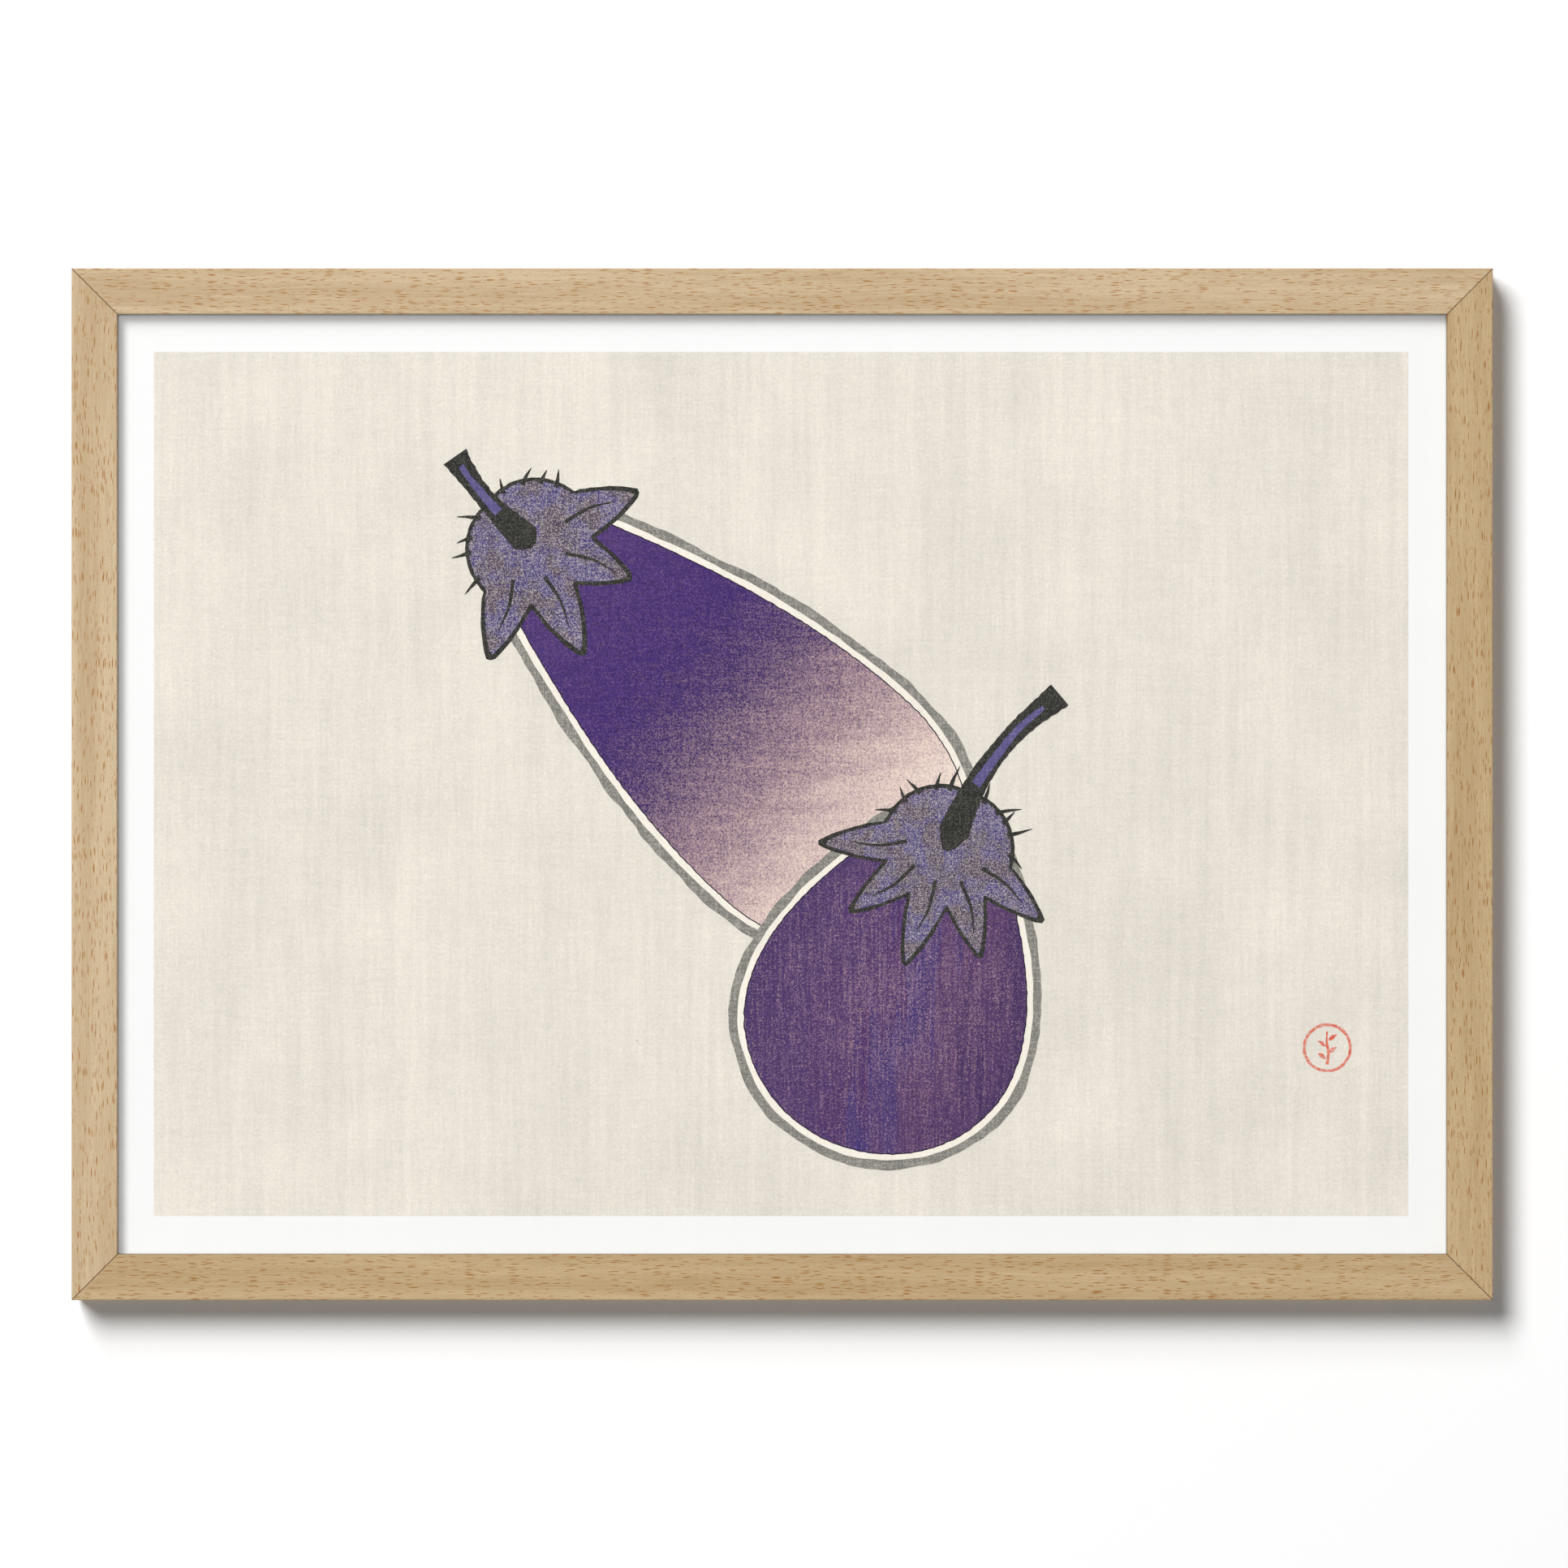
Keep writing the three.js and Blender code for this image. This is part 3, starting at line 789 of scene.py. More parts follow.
def paper(name, tone, texture=1.0):
    """Handmade paper: crossed threads, soft clouds, fine fleece and a few tiny specks."""
    s = Shader(name)
    place = s.millimetres()
    clouds = s.noise(place, (1 / 45, 1, 1 / 45), (1, 0, 9), detail=3.0)
    fleece = s.noise(place, (1.1, 1, 1.1), (4, 0, 4), detail=3.0, roughness=0.75)
    bands = s.noise(place, (1 / 3.5, 1, 1 / 90), (7, 0, 1), detail=2.0)
    broad = s.maths("ADD", s.line(clouds, 0.2, 0.8, -0.06, 0.06), s.line(bands, 0.2, 0.8, -0.05, 0.05))
    weave = s.maths("ADD", s.line(threads(s, place), 0.25, 0.75, -0.07, 0.07), broad)
    soft = s.line(fleece, 0.2, 0.8, -0.14, 0.14)
    distance, chance = s.cells(place, (1 / 30, 1 / 30, 1 / 30))
    speck = s.maths("LESS_THAN", distance, s.line(chance[0], 0.5, 1, 0.0, 0.014))
    uneven_tone = s.maths("SUBTRACT", s.maths("ADD", weave, soft), s.maths("MULTIPLY", speck, 0.5))
    lightness = s.maths("ADD", s.maths("MULTIPLY", uneven_tone, texture), 1.0)
    shade = s.scaled(tuple(tone), lightness)
    s.bump(fleece, 0.2, 0.03)
    return s.finish(shade, s.line(fleece, 0, 1, 0.82, 0.95), Specular_IOR_Level=0.2)


def printed(name, ink, bare, coverage, grain=1.6, weave=0.8, vary=0.16, size=1.5, second=None):
    """Ink rubbed on to paper.

    ink, bare and coverage are values or functions of (shader, place): the ink, what shows where it is
    thin, and how much ink there is. grain and weave say how unevenly it takes, vary how much its depth
    wanders, and second is another ink that clouds into the first."""
    s = Shader(name)
    place = s.millimetres()

    def given(value):
        return value(s, place) if callable(value) else tuple(value)

    grains = s.noise(place, (size, 1, size), (2, 0, 7), detail=3.0, roughness=0.7)
    woven = threads(s, place)
    depth = coverage(s, place) if callable(coverage) else coverage
    taken = s.maths("ADD", s.line(grains, 0, 1, -grain / 2, grain / 2), s.line(woven, 0, 1, -weave, weave))
    shown = s.maths("ADD", taken, depth, clamp=True)
    tone = given(ink)
    cloud = s.noise(place, (0.09, 1, 0.09), (9, 0, 3), detail=5.0, roughness=0.65)
    if second is not None:
        tone = s.mix(s.step(cloud, 0.42, 0.58), tone, tuple(second))
    body = s.noise(place, (0.7, 1, 0.7), (5, 0, 5), detail=3.0, roughness=0.7)
    tone = s.scaled(tone, s.line(body, 0.3, 0.7, 1 - vary, 1 + vary))
    mixed = s.mix(shown, given(bare), tone)
    s.bump(grains, 0.15, 0.02)
    return s.finish(mixed, s.line(grains, 0, 1, 0.7, 0.92), Specular_IOR_Level=0.2)


def steel(name, tone, low, high, scale):
    """Plated steel with fine rubbing marks and a faint cloudiness."""
    s = Shader(name)
    place = s.millimetres()
    rub = s.noise(place, scale, detail=4.0, roughness=0.7)
    cloud = s.noise(place, (0.35, 0.35, 0.35), (4, 4, 4), detail=3.0)
    both = s.maths("ADD", s.maths("MULTIPLY", rub, 0.6), s.maths("MULTIPLY", cloud, 0.4))
    lit = s.scaled(tuple(tone), s.line(both, 0.25, 0.75, 0.78, 1.06))
    s.bump(rub, 0.12, 0.03)
    return s.finish(lit, s.line(both, 0.25, 0.75, low, high), Metallic=1.0)


def clear_glass(name):
    """A clear pane that mirrors a little, by its angle, and hardly tints what is behind it."""
    s = Shader(name)
    place = s.millimetres()
    nodes = s.tree.nodes
    nodes.remove(s.surface)
    wipe = s.noise(place, (1 / 60, 1, 1 / 25), detail=3.0)
    rough = s.line(wipe, 0.2, 0.8, 0.01, 0.05)
    mirror = s.node("ShaderNodeBsdfGlossy", {"Color": (1, 1, 1), "Roughness": rough}).outputs[0]
    clear = s.node("ShaderNodeBsdfTransparent", {"Color": (0.991, 0.993, 0.991)}).outputs[0]
    # A back face would mirror everything at a slant, as rays here aren't bent on their way in, so it is
    # left clear
    angle = s.node("ShaderNodeFresnel", {"IOR": 1.5}).outputs[0]
    in_front = s.maths("SUBTRACT", 1.0, s.node("ShaderNodeNewGeometry").outputs["Backfacing"])
    mirrored = s.maths("MULTIPLY", angle, in_front)
    both = s.node("ShaderNodeMixShader", {0: mirrored, 1: clear, 2: mirror}).outputs[0]
    s.tree.links.new(both, nodes["Material Output"].inputs["Surface"])
    return s.material


def fibreboard(name, tone):
    """Pressed board: matted fibres, soft clouds and a few darker chips."""
    s = Shader(name)
    place = s.millimetres()
    fibres = s.noise(place, (0.9, 1, 0.35), detail=4.0, roughness=0.75, distortion=0.8)
    clouds = s.noise(place, (1 / 40, 1, 1 / 40), (2, 2, 2), detail=3.0)
    distance, _ = s.cells(place, (1 / 2.2, 1, 1 / 2.2))
    chip = s.step(distance, 0.16, 0.05)
    light = s.maths("ADD", s.line(fibres, 0.25, 0.75, -0.14, 0.14), s.line(clouds, 0.25, 0.75, -0.08, 0.08))
    light = s.maths("SUBTRACT", s.maths("ADD", light, 1.0), s.maths("MULTIPLY", chip, 0.2))
    shade = s.scaled(tuple(tone), light)
    s.bump(fibres, 0.3, 0.1)
    return s.finish(shade, s.line(fibres, 0, 1, 0.75, 0.95), Specular_IOR_Level=0.25)


def soft_bumper(name, tone):
    """Soft rubber with a slight haze, which light goes a little way into."""
    s = Shader(name)
    place = s.millimetres()
    haze = s.noise(place, (0.8, 0.8, 0.8), detail=3.0)
    shade = s.scaled(tuple(tone), s.line(haze, 0.2, 0.8, 0.92, 1.04))
    s.bump(haze, 0.08, 0.1)
    gloss = s.line(haze, 0.2, 0.8, 0.28, 0.42)
    return s.finish(shade, gloss, Subsurface_Weight=0.4, Subsurface_Scale=2 * MM)


# ---- Operators ----


STAGE_SIZE = 5.0  # the wall's and the floor's sides, in metres
WALL_TONE = 0.96
FLOOR_TONE = 0.9


class FRAMEDPRINT_OT_stage(bpy.types.Operator):
    """Make the wall, the floor, the lights, the world and the camera"""

    bl_idname = "framed_print.stage"
    bl_label = "Stage"

    def execute(self, context):
        look = settings().stage
        self.camera(context, look)
        self.world(context, look)
        upright = Matrix.Rotation(math.pi / 2, 4, "X")
        wall = self.pale_plane("wall", upright, (0, 0, -0.1), look.wall_glow, WALL_TONE)
        floor = self.pale_plane("floor", Matrix.Identity(4), (0, -2.0, -1.35), 0.0, FLOOR_TONE)
        for piece in (wall, floor):
            piece.visible_shadow = False
        floor.visible_diffuse = False
        # For each lamp: its way from the picture's middle and its size, in metres, its power, and
        # whether it is mirrored
        lamps = (
            ("key", Vector((-0.4, -1.0, 0.48)) * 7.0, 3.5, look.key, False),
            ("high", Vector((-0.45, -1.0, 0.95)) * 6.0, 2.5, look.high, False),
            ("front", Vector((0.0, -6.0, 0.2)), 1.6, look.front, False),
            ("back_key", Vector((1.1, 2.2, 1.2)), 1.2, look.back_key, True),
            ("back_fill", Vector((-1.6, 2.0, 0.2)), 2.4, look.back_fill, True),
        )
        lit = {}
        for name, way, size, power, mirrored in lamps:
            lit[name] = self.lamp(context, name, way, size, power, mirrored)
        beside = bpy.data.collections.new("kept_out_of_front_light")
        beside.objects.link(wall)
        beside.collection_objects[0].light_linking.link_state = "EXCLUDE"
        lit["front"].light_linking.receiver_collection = beside
        return {"FINISHED"}

    def camera(self, context, look):
        data = bpy.data.cameras.new("camera")
        data.lens = look.lens
        data.sensor_width = 36.0
        camera = bpy.data.objects.new("camera", data)
        context.scene.collection.objects.link(camera)
        distance = look.view_width / 2 / (data.sensor_width / 2 / data.lens)
        aside, above = 0.8 * MM, 0.1 * MM
        camera.location = (CENTRE.x + aside, FRAME_LOW.y - distance, CENTRE.z + above)
        camera.rotation_euler = (math.pi / 2, 0, 0)
        data.clip_end = 100
        context.scene.camera = camera

    def world(self, context, look):
        world = bpy.data.worlds.new("studio")
        context.scene.world = world
        world.use_nodes = True
        nodes, links = world.node_tree.nodes, world.node_tree.links
        seen = nodes.new("ShaderNodeBackground")
        seen.inputs["Color"].default_value = (1, 1, 1, 1)
        seen.inputs["Strength"].default_value = 1.0
        given = nodes["Background"]
        given.inputs["Color"].default_value = (1, 1, 1, 1)
        given.inputs["Strength"].default_value = look.fill
        path, mix = nodes.new("ShaderNodeLightPath"), nodes.new("ShaderNodeMixShader")
        links.new(path.outputs["Is Camera Ray"], mix.inputs[0])
        links.new(given.outputs[0], mix.inputs[1])
        links.new(seen.outputs[0], mix.inputs[2])
        links.new(mix.outputs[0], nodes["World Output"].inputs["Surface"])
        context.scene.view_settings.view_transform = "Standard"
        context.scene.view_settings.look = "None"

    def pale_plane(self, name, turn, place, glow, tone):
        """A pale square that can't be seen from behind."""
        s = Shader(name)
        dust = s.noise(s.millimetres(), (1 / 300, 1 / 300, 1 / 300), detail=2.0)
        s.finish((tone, tone, tone), s.line(dust, 0, 1, 0.85, 0.95), Specular_IOR_Level=0.0)
        s.surface.inputs["Emission Color"].default_value = (1, 1, 1, 1)
        s.surface.inputs["Emission Strength"].default_value = glow
        behind = s.node("ShaderNodeNewGeometry").outputs["Backfacing"]
        clear = s.node("ShaderNodeBsdfTransparent")
        mix = s.node("ShaderNodeMixShader", {0: behind, 1: s.surface.outputs[0], 2: clear.outputs[0]})
        s.tree.links.new(mix.outputs[0], s.tree.nodes["Material Output"].inputs["Surface"])
        bm = bmesh.new()
        bmesh.ops.create_grid(bm, x_segments=1, y_segments=1, size=STAGE_SIZE / 2)
        bm.transform(Matrix.Translation(place) @ turn)
        obj = mesh_object(name, bm, s.material)
        return obj

    def lamp(self, context, name, way, size, power, mirrored):
        """A round lamp that lights the picture from a way off, in metres from the picture's middle."""
        aim = Vector((CENTRE.x, 0, CENTRE.z))
        data = bpy.data.lights.new(name, "AREA")
        data.shape = "DISK"
        data.size = size
        data.energy = power
        lamp = bpy.data.objects.new(name, data)
        context.scene.collection.objects.link(lamp)
        lamp.location = aim + way
        lamp.rotation_euler = (aim - (aim + way)).to_track_quat("-Z", "Y").to_euler()
        lamp.visible_camera = False
        lamp.visible_glossy = mirrored
        return lamp


class FRAMEDPRINT_OT_rails(bpy.types.Operator):
    """Finish the four mitred rails in beech"""

    bl_idname = "framed_print.rails"
    bl_label = "Rails"

    def execute(self, context):
        darker = settings().wood.painted_shade_tint
        for i, rail in enumerate(RAILS):
            # The right and bottom rails take the painted shade tint, the top and left rails keep their
            # plain tones
            tone = (1, 1, 1) if rail in ("top_rail", "left_stile") else tuple(darker)
            offset = (17.3 * i + 2, 5.1 * i, 9.7 * i + 1)
            dress(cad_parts[rail], beech(f"beech_{rail}", "stile" in rail, offset, tone))
        return {"FINISHED"}


class FRAMEDPRINT_OT_glazing(bpy.types.Operator):
    """Finish the clear pane"""

    bl_idname = "framed_print.glazing"
    bl_label = "Glazing"

    def execute(self, context):
        dress(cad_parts["glass_pane"], clear_glass("clear_glass"))
        return {"FINISHED"}


SHEET_STRIPS = 24  # faces across the sheet
PICTURE_SHIFT = (-0.5, 0.1)  # how far the toned ground is off the sheet's middle, in mm


class FRAMEDPRINT_OT_sheet(bpy.types.Operator):
    """Make the bare sheet and the toned ground of its picture"""

    bl_idname = "framed_print.sheet"
    bl_label = "Sheet"

    def execute(self, context):
        look = settings().sheet
        bm = bmesh.new()
        low, high = PRINT_LOW.copy(), PRINT_HIGH.copy()
        low.y += PRINT_BACKSET
        high.y += SHEET_BACK
        bmesh.ops.create_cube(bm, size=1.0)
        bm.transform(Matrix.Translation((low + high) / 2) @ Matrix.Diagonal((*(high - low), 1)))
        cuts = [(i / SHEET_STRIPS - 0.5) * (high.x - low.x) + CENTRE.x for i in range(1, SHEET_STRIPS)]
        for x in cuts:
            bmesh.ops.bisect_plane(
                bm, geom=bm.verts[:] + bm.edges[:] + bm.faces[:], plane_co=(x, 0, 0), plane_no=(1, 0, 0)
            )
        sheet = mesh_object("printed_sheet", bm, paper("margin_paper", look.margin, 0.1))
        finish_piece(sheet, "frame", "print_paper", "print_sheet")
        half_width, half_height = look.picture_width / MM / 2, look.picture_height / MM / 2
        aside, up = PICTURE_SHIFT
        left, right = -half_width + aside, half_width + aside
        low, high = -half_height + up, half_height + up
        corners = [(left, low, 1), (right, low, 1), (right, high, 1), (left, high, 1)]
        edge = uneven(curve_through(corners, 1.2), 0.12, settings().seed, 1.5)
        ink_slab("toned_ground", [edge], 1, paper("toned_paper", look.ground))
        return {"FINISHED"}


# Each fruit's neck, the way it points, in degrees, and how far down it is widest, as a share
LONG_FRUIT = ((-115, 110), -42, 0.7)
FRONT_FRUIT = ((75, -25), -110, 0.6)

# Round a fruit: how far its pale surround, the outline's two sides and its dark edge are off it
HALO_REACH = 4.6
OUTLINE_FAR = 7.2
OUTLINE_NEAR = 3.2
OUTLINE_WAVE = 22.0  # length of the outline's unevenness
EDGE_REACH = 0.5

# Widths of the brush strokes, from their start to their end
STEM_WIDTHS = (3, 14, 12, 10, 9, 8.6, 9, 10.5, 12.5)
STEM_LIGHT_WIDTHS = (4.4, 3.4, 2.2)
VEIN_WIDTHS = (1.9, 1.3, 0.4)
THORN_WIDTHS = (2.4, 1.4, 0.2)
SPRIG_WIDTHS = (1.5, 1.2, 1.0, 0.6)

STAMP_MIDDLE = (244, -118)
STAMP_RADIUS = 11
STAMP_LINE = 1.3


class FRAMEDPRINT_OT_inks(bpy.types.Operator):
    """Draw a plain still life of two aubergines in thin layers of ink"""

    bl_idname = "framed_print.inks"
    bl_label = "Inks"

    def execute(self, context):
        look = settings().sheet
        life = settings().still_life
        self.seed = settings().seed
        self.look = look
        self.halo = paper("pale_paper", look.halo, 0.7)
        self.grey = printed("grey_ink", look.grey, look.ground, 0.88, grain=1.5, weave=0.6, vary=0.12)
        worn = linear(104, 102, 96)
        self.black = printed("black_ink", look.black, worn, 0.92, grain=2.6, weave=0.5, vary=0.25)
        self.rim = printed("rim_ink", linear(26, 20, 32), look.violet, 0.95, grain=1.0, weave=0.3)
        stem_ink, stem_bare = linear(74, 66, 110), linear(134, 126, 160)
        self.stem_light = printed("stem_ink", stem_ink, stem_bare, 0.9, grain=1.6, weave=0.6, vary=0.2)
        long = self.plain_fruit(LONG_FRUIT, life.long_length, life.long_width, life.long_neck)
        short = self.plain_fruit(FRONT_FRUIT, life.front_length, life.front_width, life.front_neck)
        cap = life.cap_radius / MM
        self.fruit("long", long, level=2, ink=self.long_ink(long))
        self.cap("long", long, cap, lobes=4, stem=life.short_stem / MM, bend=6, level=6)
        self.fruit("front", short, level=6, ink=self.front_ink(short))
        self.cap("front", short, cap, lobes=5, stem=life.tall_stem / MM, bend=24, level=10)
        self.stamp()
        return {"FINISHED"}

    def plain_fruit(self, place, length, width, neck_width):
        """A fruit from where it is and its sizes in metres, as the settings hold them."""
        neck, heading, widest = place
        return Fruit(neck, heading, length / MM, width / MM / 2, neck_width / MM / 2, widest)

    def next_seed(self):
        self.seed += 1
        return self.seed

    def shape(self, name, line, level, material, wobble=0.35):
        return ink_slab(name, [uneven(line, wobble, self.next_seed())], level, material)

    def stroke(self, name, points, widths, level, material, roughness=0.4):
        return ink_slab(name, [brush(points, widths, self.next_seed(), roughness)], level, material)

    def fruit(self, name, fruit, level, ink):
        """From the paper up: a pale surround, an outline a little way off, a dark edge and the ink."""
        line = fruit.outline()
        self.shape(f"{name}_pale", offset(line, HALO_REACH), level, self.halo, 0.3)
        outer = uneven(offset(line, OUTLINE_FAR), 1.3, self.next_seed(), OUTLINE_WAVE)
        inner = uneven(offset(line, OUTLINE_NEAR), 0.7, self.next_seed(), OUTLINE_WAVE)
        ink_slab(f"{name}_outline", [outer, inner[::-1]], level + 1, self.grey)
        body = uneven(line, 0.35, self.next_seed())
        ink_slab(f"{name}_edge", [offset(body, EDGE_REACH)], level + 2, self.rim)
        ink_slab(f"{name}_fruit", [body], level + 3, ink)

    def cap(self, name, fruit, radius, lobes, stem, bend, level):
        """A cap with a dark edge, then its stem, its veins and its thorns."""
        look = self.look
        pale = linear(190, 180, 176)
        taking = {"grain": 3.2, "weave": 0.4, "vary": 0.25, "size": 1.7}
        warm = printed(f"{name}_cap_ink", look.calyx, pale, 0.84, second=look.indigo, **taking)
        kind = self.next_seed()
        self.shape(f"{name}_cap_edge", fruit.cap(radius, lobes, kind, 0.036), level, self.black, 0.3)
        self.shape(f"{name}_cap", fruit.cap(radius, lobes, kind), level + 1, warm, 0.3)
        self.stem(name, fruit, stem, bend, level + 2)
        self.veins(name, fruit, radius, lobes, level + 2)
        self.thorns(name, fruit, radius, lobes, level + 4)

    def stem(self, name, fruit, tall, bend, level):
        run = [fruit.at(5, 0)]
        for up, over in ((0.35, 0.1), (0.7, 0.45), (1.0, 1.0)):
            run.append(fruit.at(-tall * up, bend * over))
        light = [run[1], run[2], fruit.at(-tall * 0.9, bend * 0.8)]
        self.stroke(f"{name}_stem", run, STEM_WIDTHS, level, self.black, 0.5)
        self.stroke(f"{name}_stem_light", light, STEM_LIGHT_WIDTHS, level + 1, self.stem_light)

    def veins(self, name, fruit, radius, lobes, level):
        """One slightly bent vein down the middle of each lobe."""
        spread = 2 * CAP_SIDE / lobes
        for i in range(lobes):
            turn = -CAP_SIDE + spread * (i + 0.5)
            spots = ((0, 0.4), (3, 0.66), (0, 0.9))
            vein = [fruit.reaching(turn + lean, radius * reach) for lean, reach in spots]
            self.stroke(f"{name}_vein_{i + 1}", vein, VEIN_WIDTHS, level, self.black, 0.2)

    def thorns(self, name, fruit, radius, lobes, level):
        """Thorns at uneven places round the cap's back, to one side and the other in turn."""
        draw = Random(self.next_seed())
        for i in range(2 * lobes):
            around = (i // 2 + draw.uniform(0.2, 0.8)) / lobes
            turn = (CAP_SIDE + 6 + (160 - CAP_SIDE) * around) * (1 if i % 2 else -1)
            root = radius * (fruit.cap_back(turn) - 0.02)
            tip = root + radius * draw.uniform(0.14, 0.24)
            lean = turn + draw.uniform(-9, 9)
            halfway = fruit.reaching((turn + lean) / 2, (root + tip) / 2)
            thorn = [fruit.reaching(turn, root), halfway, fruit.reaching(lean, tip)]
            self.stroke(f"{name}_thorn_{i + 1}", thorn, THORN_WIDTHS, level, self.black, 0.15)

    def long_ink(self, fruit):
        """Violet, thinning evenly towards the far end."""
        look = self.look
        inks = [
            (0.0, linear(64, 46, 96)),
            (0.3, tuple(look.violet)),
            (0.5, linear(48, 32, 80)),
            (0.66, linear(76, 48, 90)),
            (0.8, linear(136, 100, 124)),
            (1.0, tuple(look.mauve)),
        ]
        papers = [
            (0.3, linear(126, 92, 124)),
            (0.6, linear(186, 160, 154)),
            (0.8, linear(206, 190, 176)),
            (1.0, tuple(look.halo)),
        ]

        def gone(s, place):
            sweep = s.noise(place, (1 / 40, 1, 1 / 6), (3, 0, 3), detail=3.0, roughness=0.6)
            down = s.maths("MULTIPLY", fruit.measured(s, place, fruit.along), 1 / fruit.long)
            return s.maths("ADD", down, s.line(sweep, 0.2, 0.8, -0.04, 0.04))

        def coverage(s, place):
            return s.line(gone(s, place), 0.36, 0.9, 0.97, 0.12)

        def ink(s, place):
            return s.ramp(gone(s, place), inks)

        def bare(s, place):
            return s.ramp(gone(s, place), papers)

        return printed("violet_ink", ink, bare, coverage, grain=2.4, weave=0.35, vary=0.3)

    def front_ink(self, fruit):
        """Plum in soft bands, a little worn in the middle."""
        middle = fruit.at(fruit.long / 2, 0)
        inks = [
            (0.0, linear(60, 42, 84)),
            (0.3, linear(66, 46, 88)),
            (0.46, tuple(self.look.plum)),
            (0.54, linear(56, 44, 94)),
            (0.7, linear(72, 48, 86)),
            (1.0, linear(56, 38, 78)),
        ]

        def ink(s, place):
            bands = s.noise(place, (1 / 6, 1, 1 / 60), (6, 0, 6), detail=2.0)
            aside = s.line(fruit.measured(s, place, fruit.across), -fruit.half, fruit.half)
            return s.ramp(s.maths("ADD", aside, s.line(bands, 0.2, 0.8, -0.2, 0.2)), inks)

        def coverage(s, place):
            rubbed = s.noise(place, (0.9, 1, 1 / 22), (5, 0, 1), detail=2.0, roughness=0.6)
            between = {0: place, 1: (middle.x, 0, middle.y)}
            off = s.node("ShaderNodeVectorMath", between, operation="DISTANCE").outputs["Value"]
            worn = s.line(off, 0, fruit.half, 0.86, 1.03)
            return s.maths("ADD", worn, s.line(rubbed, 0.2, 0.8, -0.22, 0.22))

        return printed("plum_ink", ink, linear(178, 146, 154), coverage, grain=2.4, weave=0.3, vary=0.18)

    def stamp(self):
        """A plain round stamp with a sprig of leaves, with no lettering."""
        look = self.look
        red = printed("red_ink", look.red, look.ground, 0.74, grain=2.4, weave=0.6, vary=0.12)
        x, y = STAMP_MIDDLE
        seed = self.next_seed()
        rings = []
        for radius in (STAMP_RADIUS, STAMP_RADIUS - STAMP_LINE):
            ring = [Vector(point) for point in arc((x, y), radius, 0, 350, 35)]
            rings.append(uneven(ring, 0.3, seed, 2.0))
        ink_slab("stamp_border", [rings[0], rings[1][::-1]], 3, red)
        stem = [(x, y - 7.5), (x + 0.4, y - 2), (x - 0.3, y + 3), (x, y + 7.5)]
        self.stroke("stamp_stem", stem, SPRIG_WIDTHS, 3, red, 0.2)
        for i in range(4):
            side, up = (1 if i % 2 else -1), y - 5 + 2.8 * i
            leaf = [
                (x + side * 0.5, up, 1),
                (x + side * 2.4, up + 0.2),
                (x + side * 4.4, up + 2.6, 1),
                (x + side * 1.8, up + 2.2),
            ]
            self.shape(f"stamp_leaf_{i + 1}", curve_through(leaf, 0.5), 4, red, 0.15)


class FRAMEDPRINT_OT_backing(bpy.types.Operator):
    """Finish the board behind the print"""

    bl_idname = "framed_print.backing"
    bl_label = "Backing board"

    def execute(self, context):
        dress(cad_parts["backing_board"], fibreboard("fibreboard", settings().hardware.board))
        return {"FINISHED"}


class FRAMEDPRINT_OT_fasteners(bpy.types.Operator):
    """Make the tabs that hold the board and the nails across the mitres"""

    bl_idname = "framed_print.fasteners"
    bl_label = "Tabs and nails"

    def execute(self, context):
        look = settings().hardware
        zinc = steel("zinc", look.zinc, 0.3, 0.46, (0.6, 0.6, 0.6))
        # About Y: a tab's round end points at the middle of the frame, and a nail's corner away from it
        turns = {"top_rail": 0, "right_stile": 90, "bottom_rail": 180, "left_stile": -90}
        kinds = (("tabs", "_tab_", tab_tree(zinc)), ("v_nails", "_v_nail_", nail_tree(zinc)))
        for piece, mark, tree in kinds:
            names = [n for rail in RAILS for n in sorted(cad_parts) if n.startswith(rail + mark)]
            places = [(middle_of(n), turns[n.split(mark)[0]]) for n in names]
            finish_piece(scattered(piece, places, tree), "frame", "zinc_steel", *names)
        return {"FINISHED"}


RING_CORNER = 1.7 * MM  # bend at each end of a ring's straight run
WIRE_SIDES = 20
SEAM = 0.82  # the wire's radius where its two ends meet, as a share

STRAP_END = 2.6 * MM  # how far the rounded end of a strap goes up it
STRAP_SETTLE = 3.4 * MM  # how far below the loop the front layer lies flat again
STRAP_FLAT = 0.01 * MM  # play between its two layers, on each face

SCREW_ROOT = 1.1 * MM
SCREW_SHANK = 1.3 * MM
SCREW_POINT = 3 * MM
HEAD_HEIGHT = 1.8 * MM
HEAD_EDGE = 0.35 * MM  # rounding at the rim of the head
RECESS_MOUTH = (3.2, 0.6, 0.85)  # an arm's span, its level from the head's top and its width, in mm
RECESS_FLOOR = (1.4, -1.1, 0.55)
RECESS_TURN = 18  # how far the screws happen to be turned, in degrees


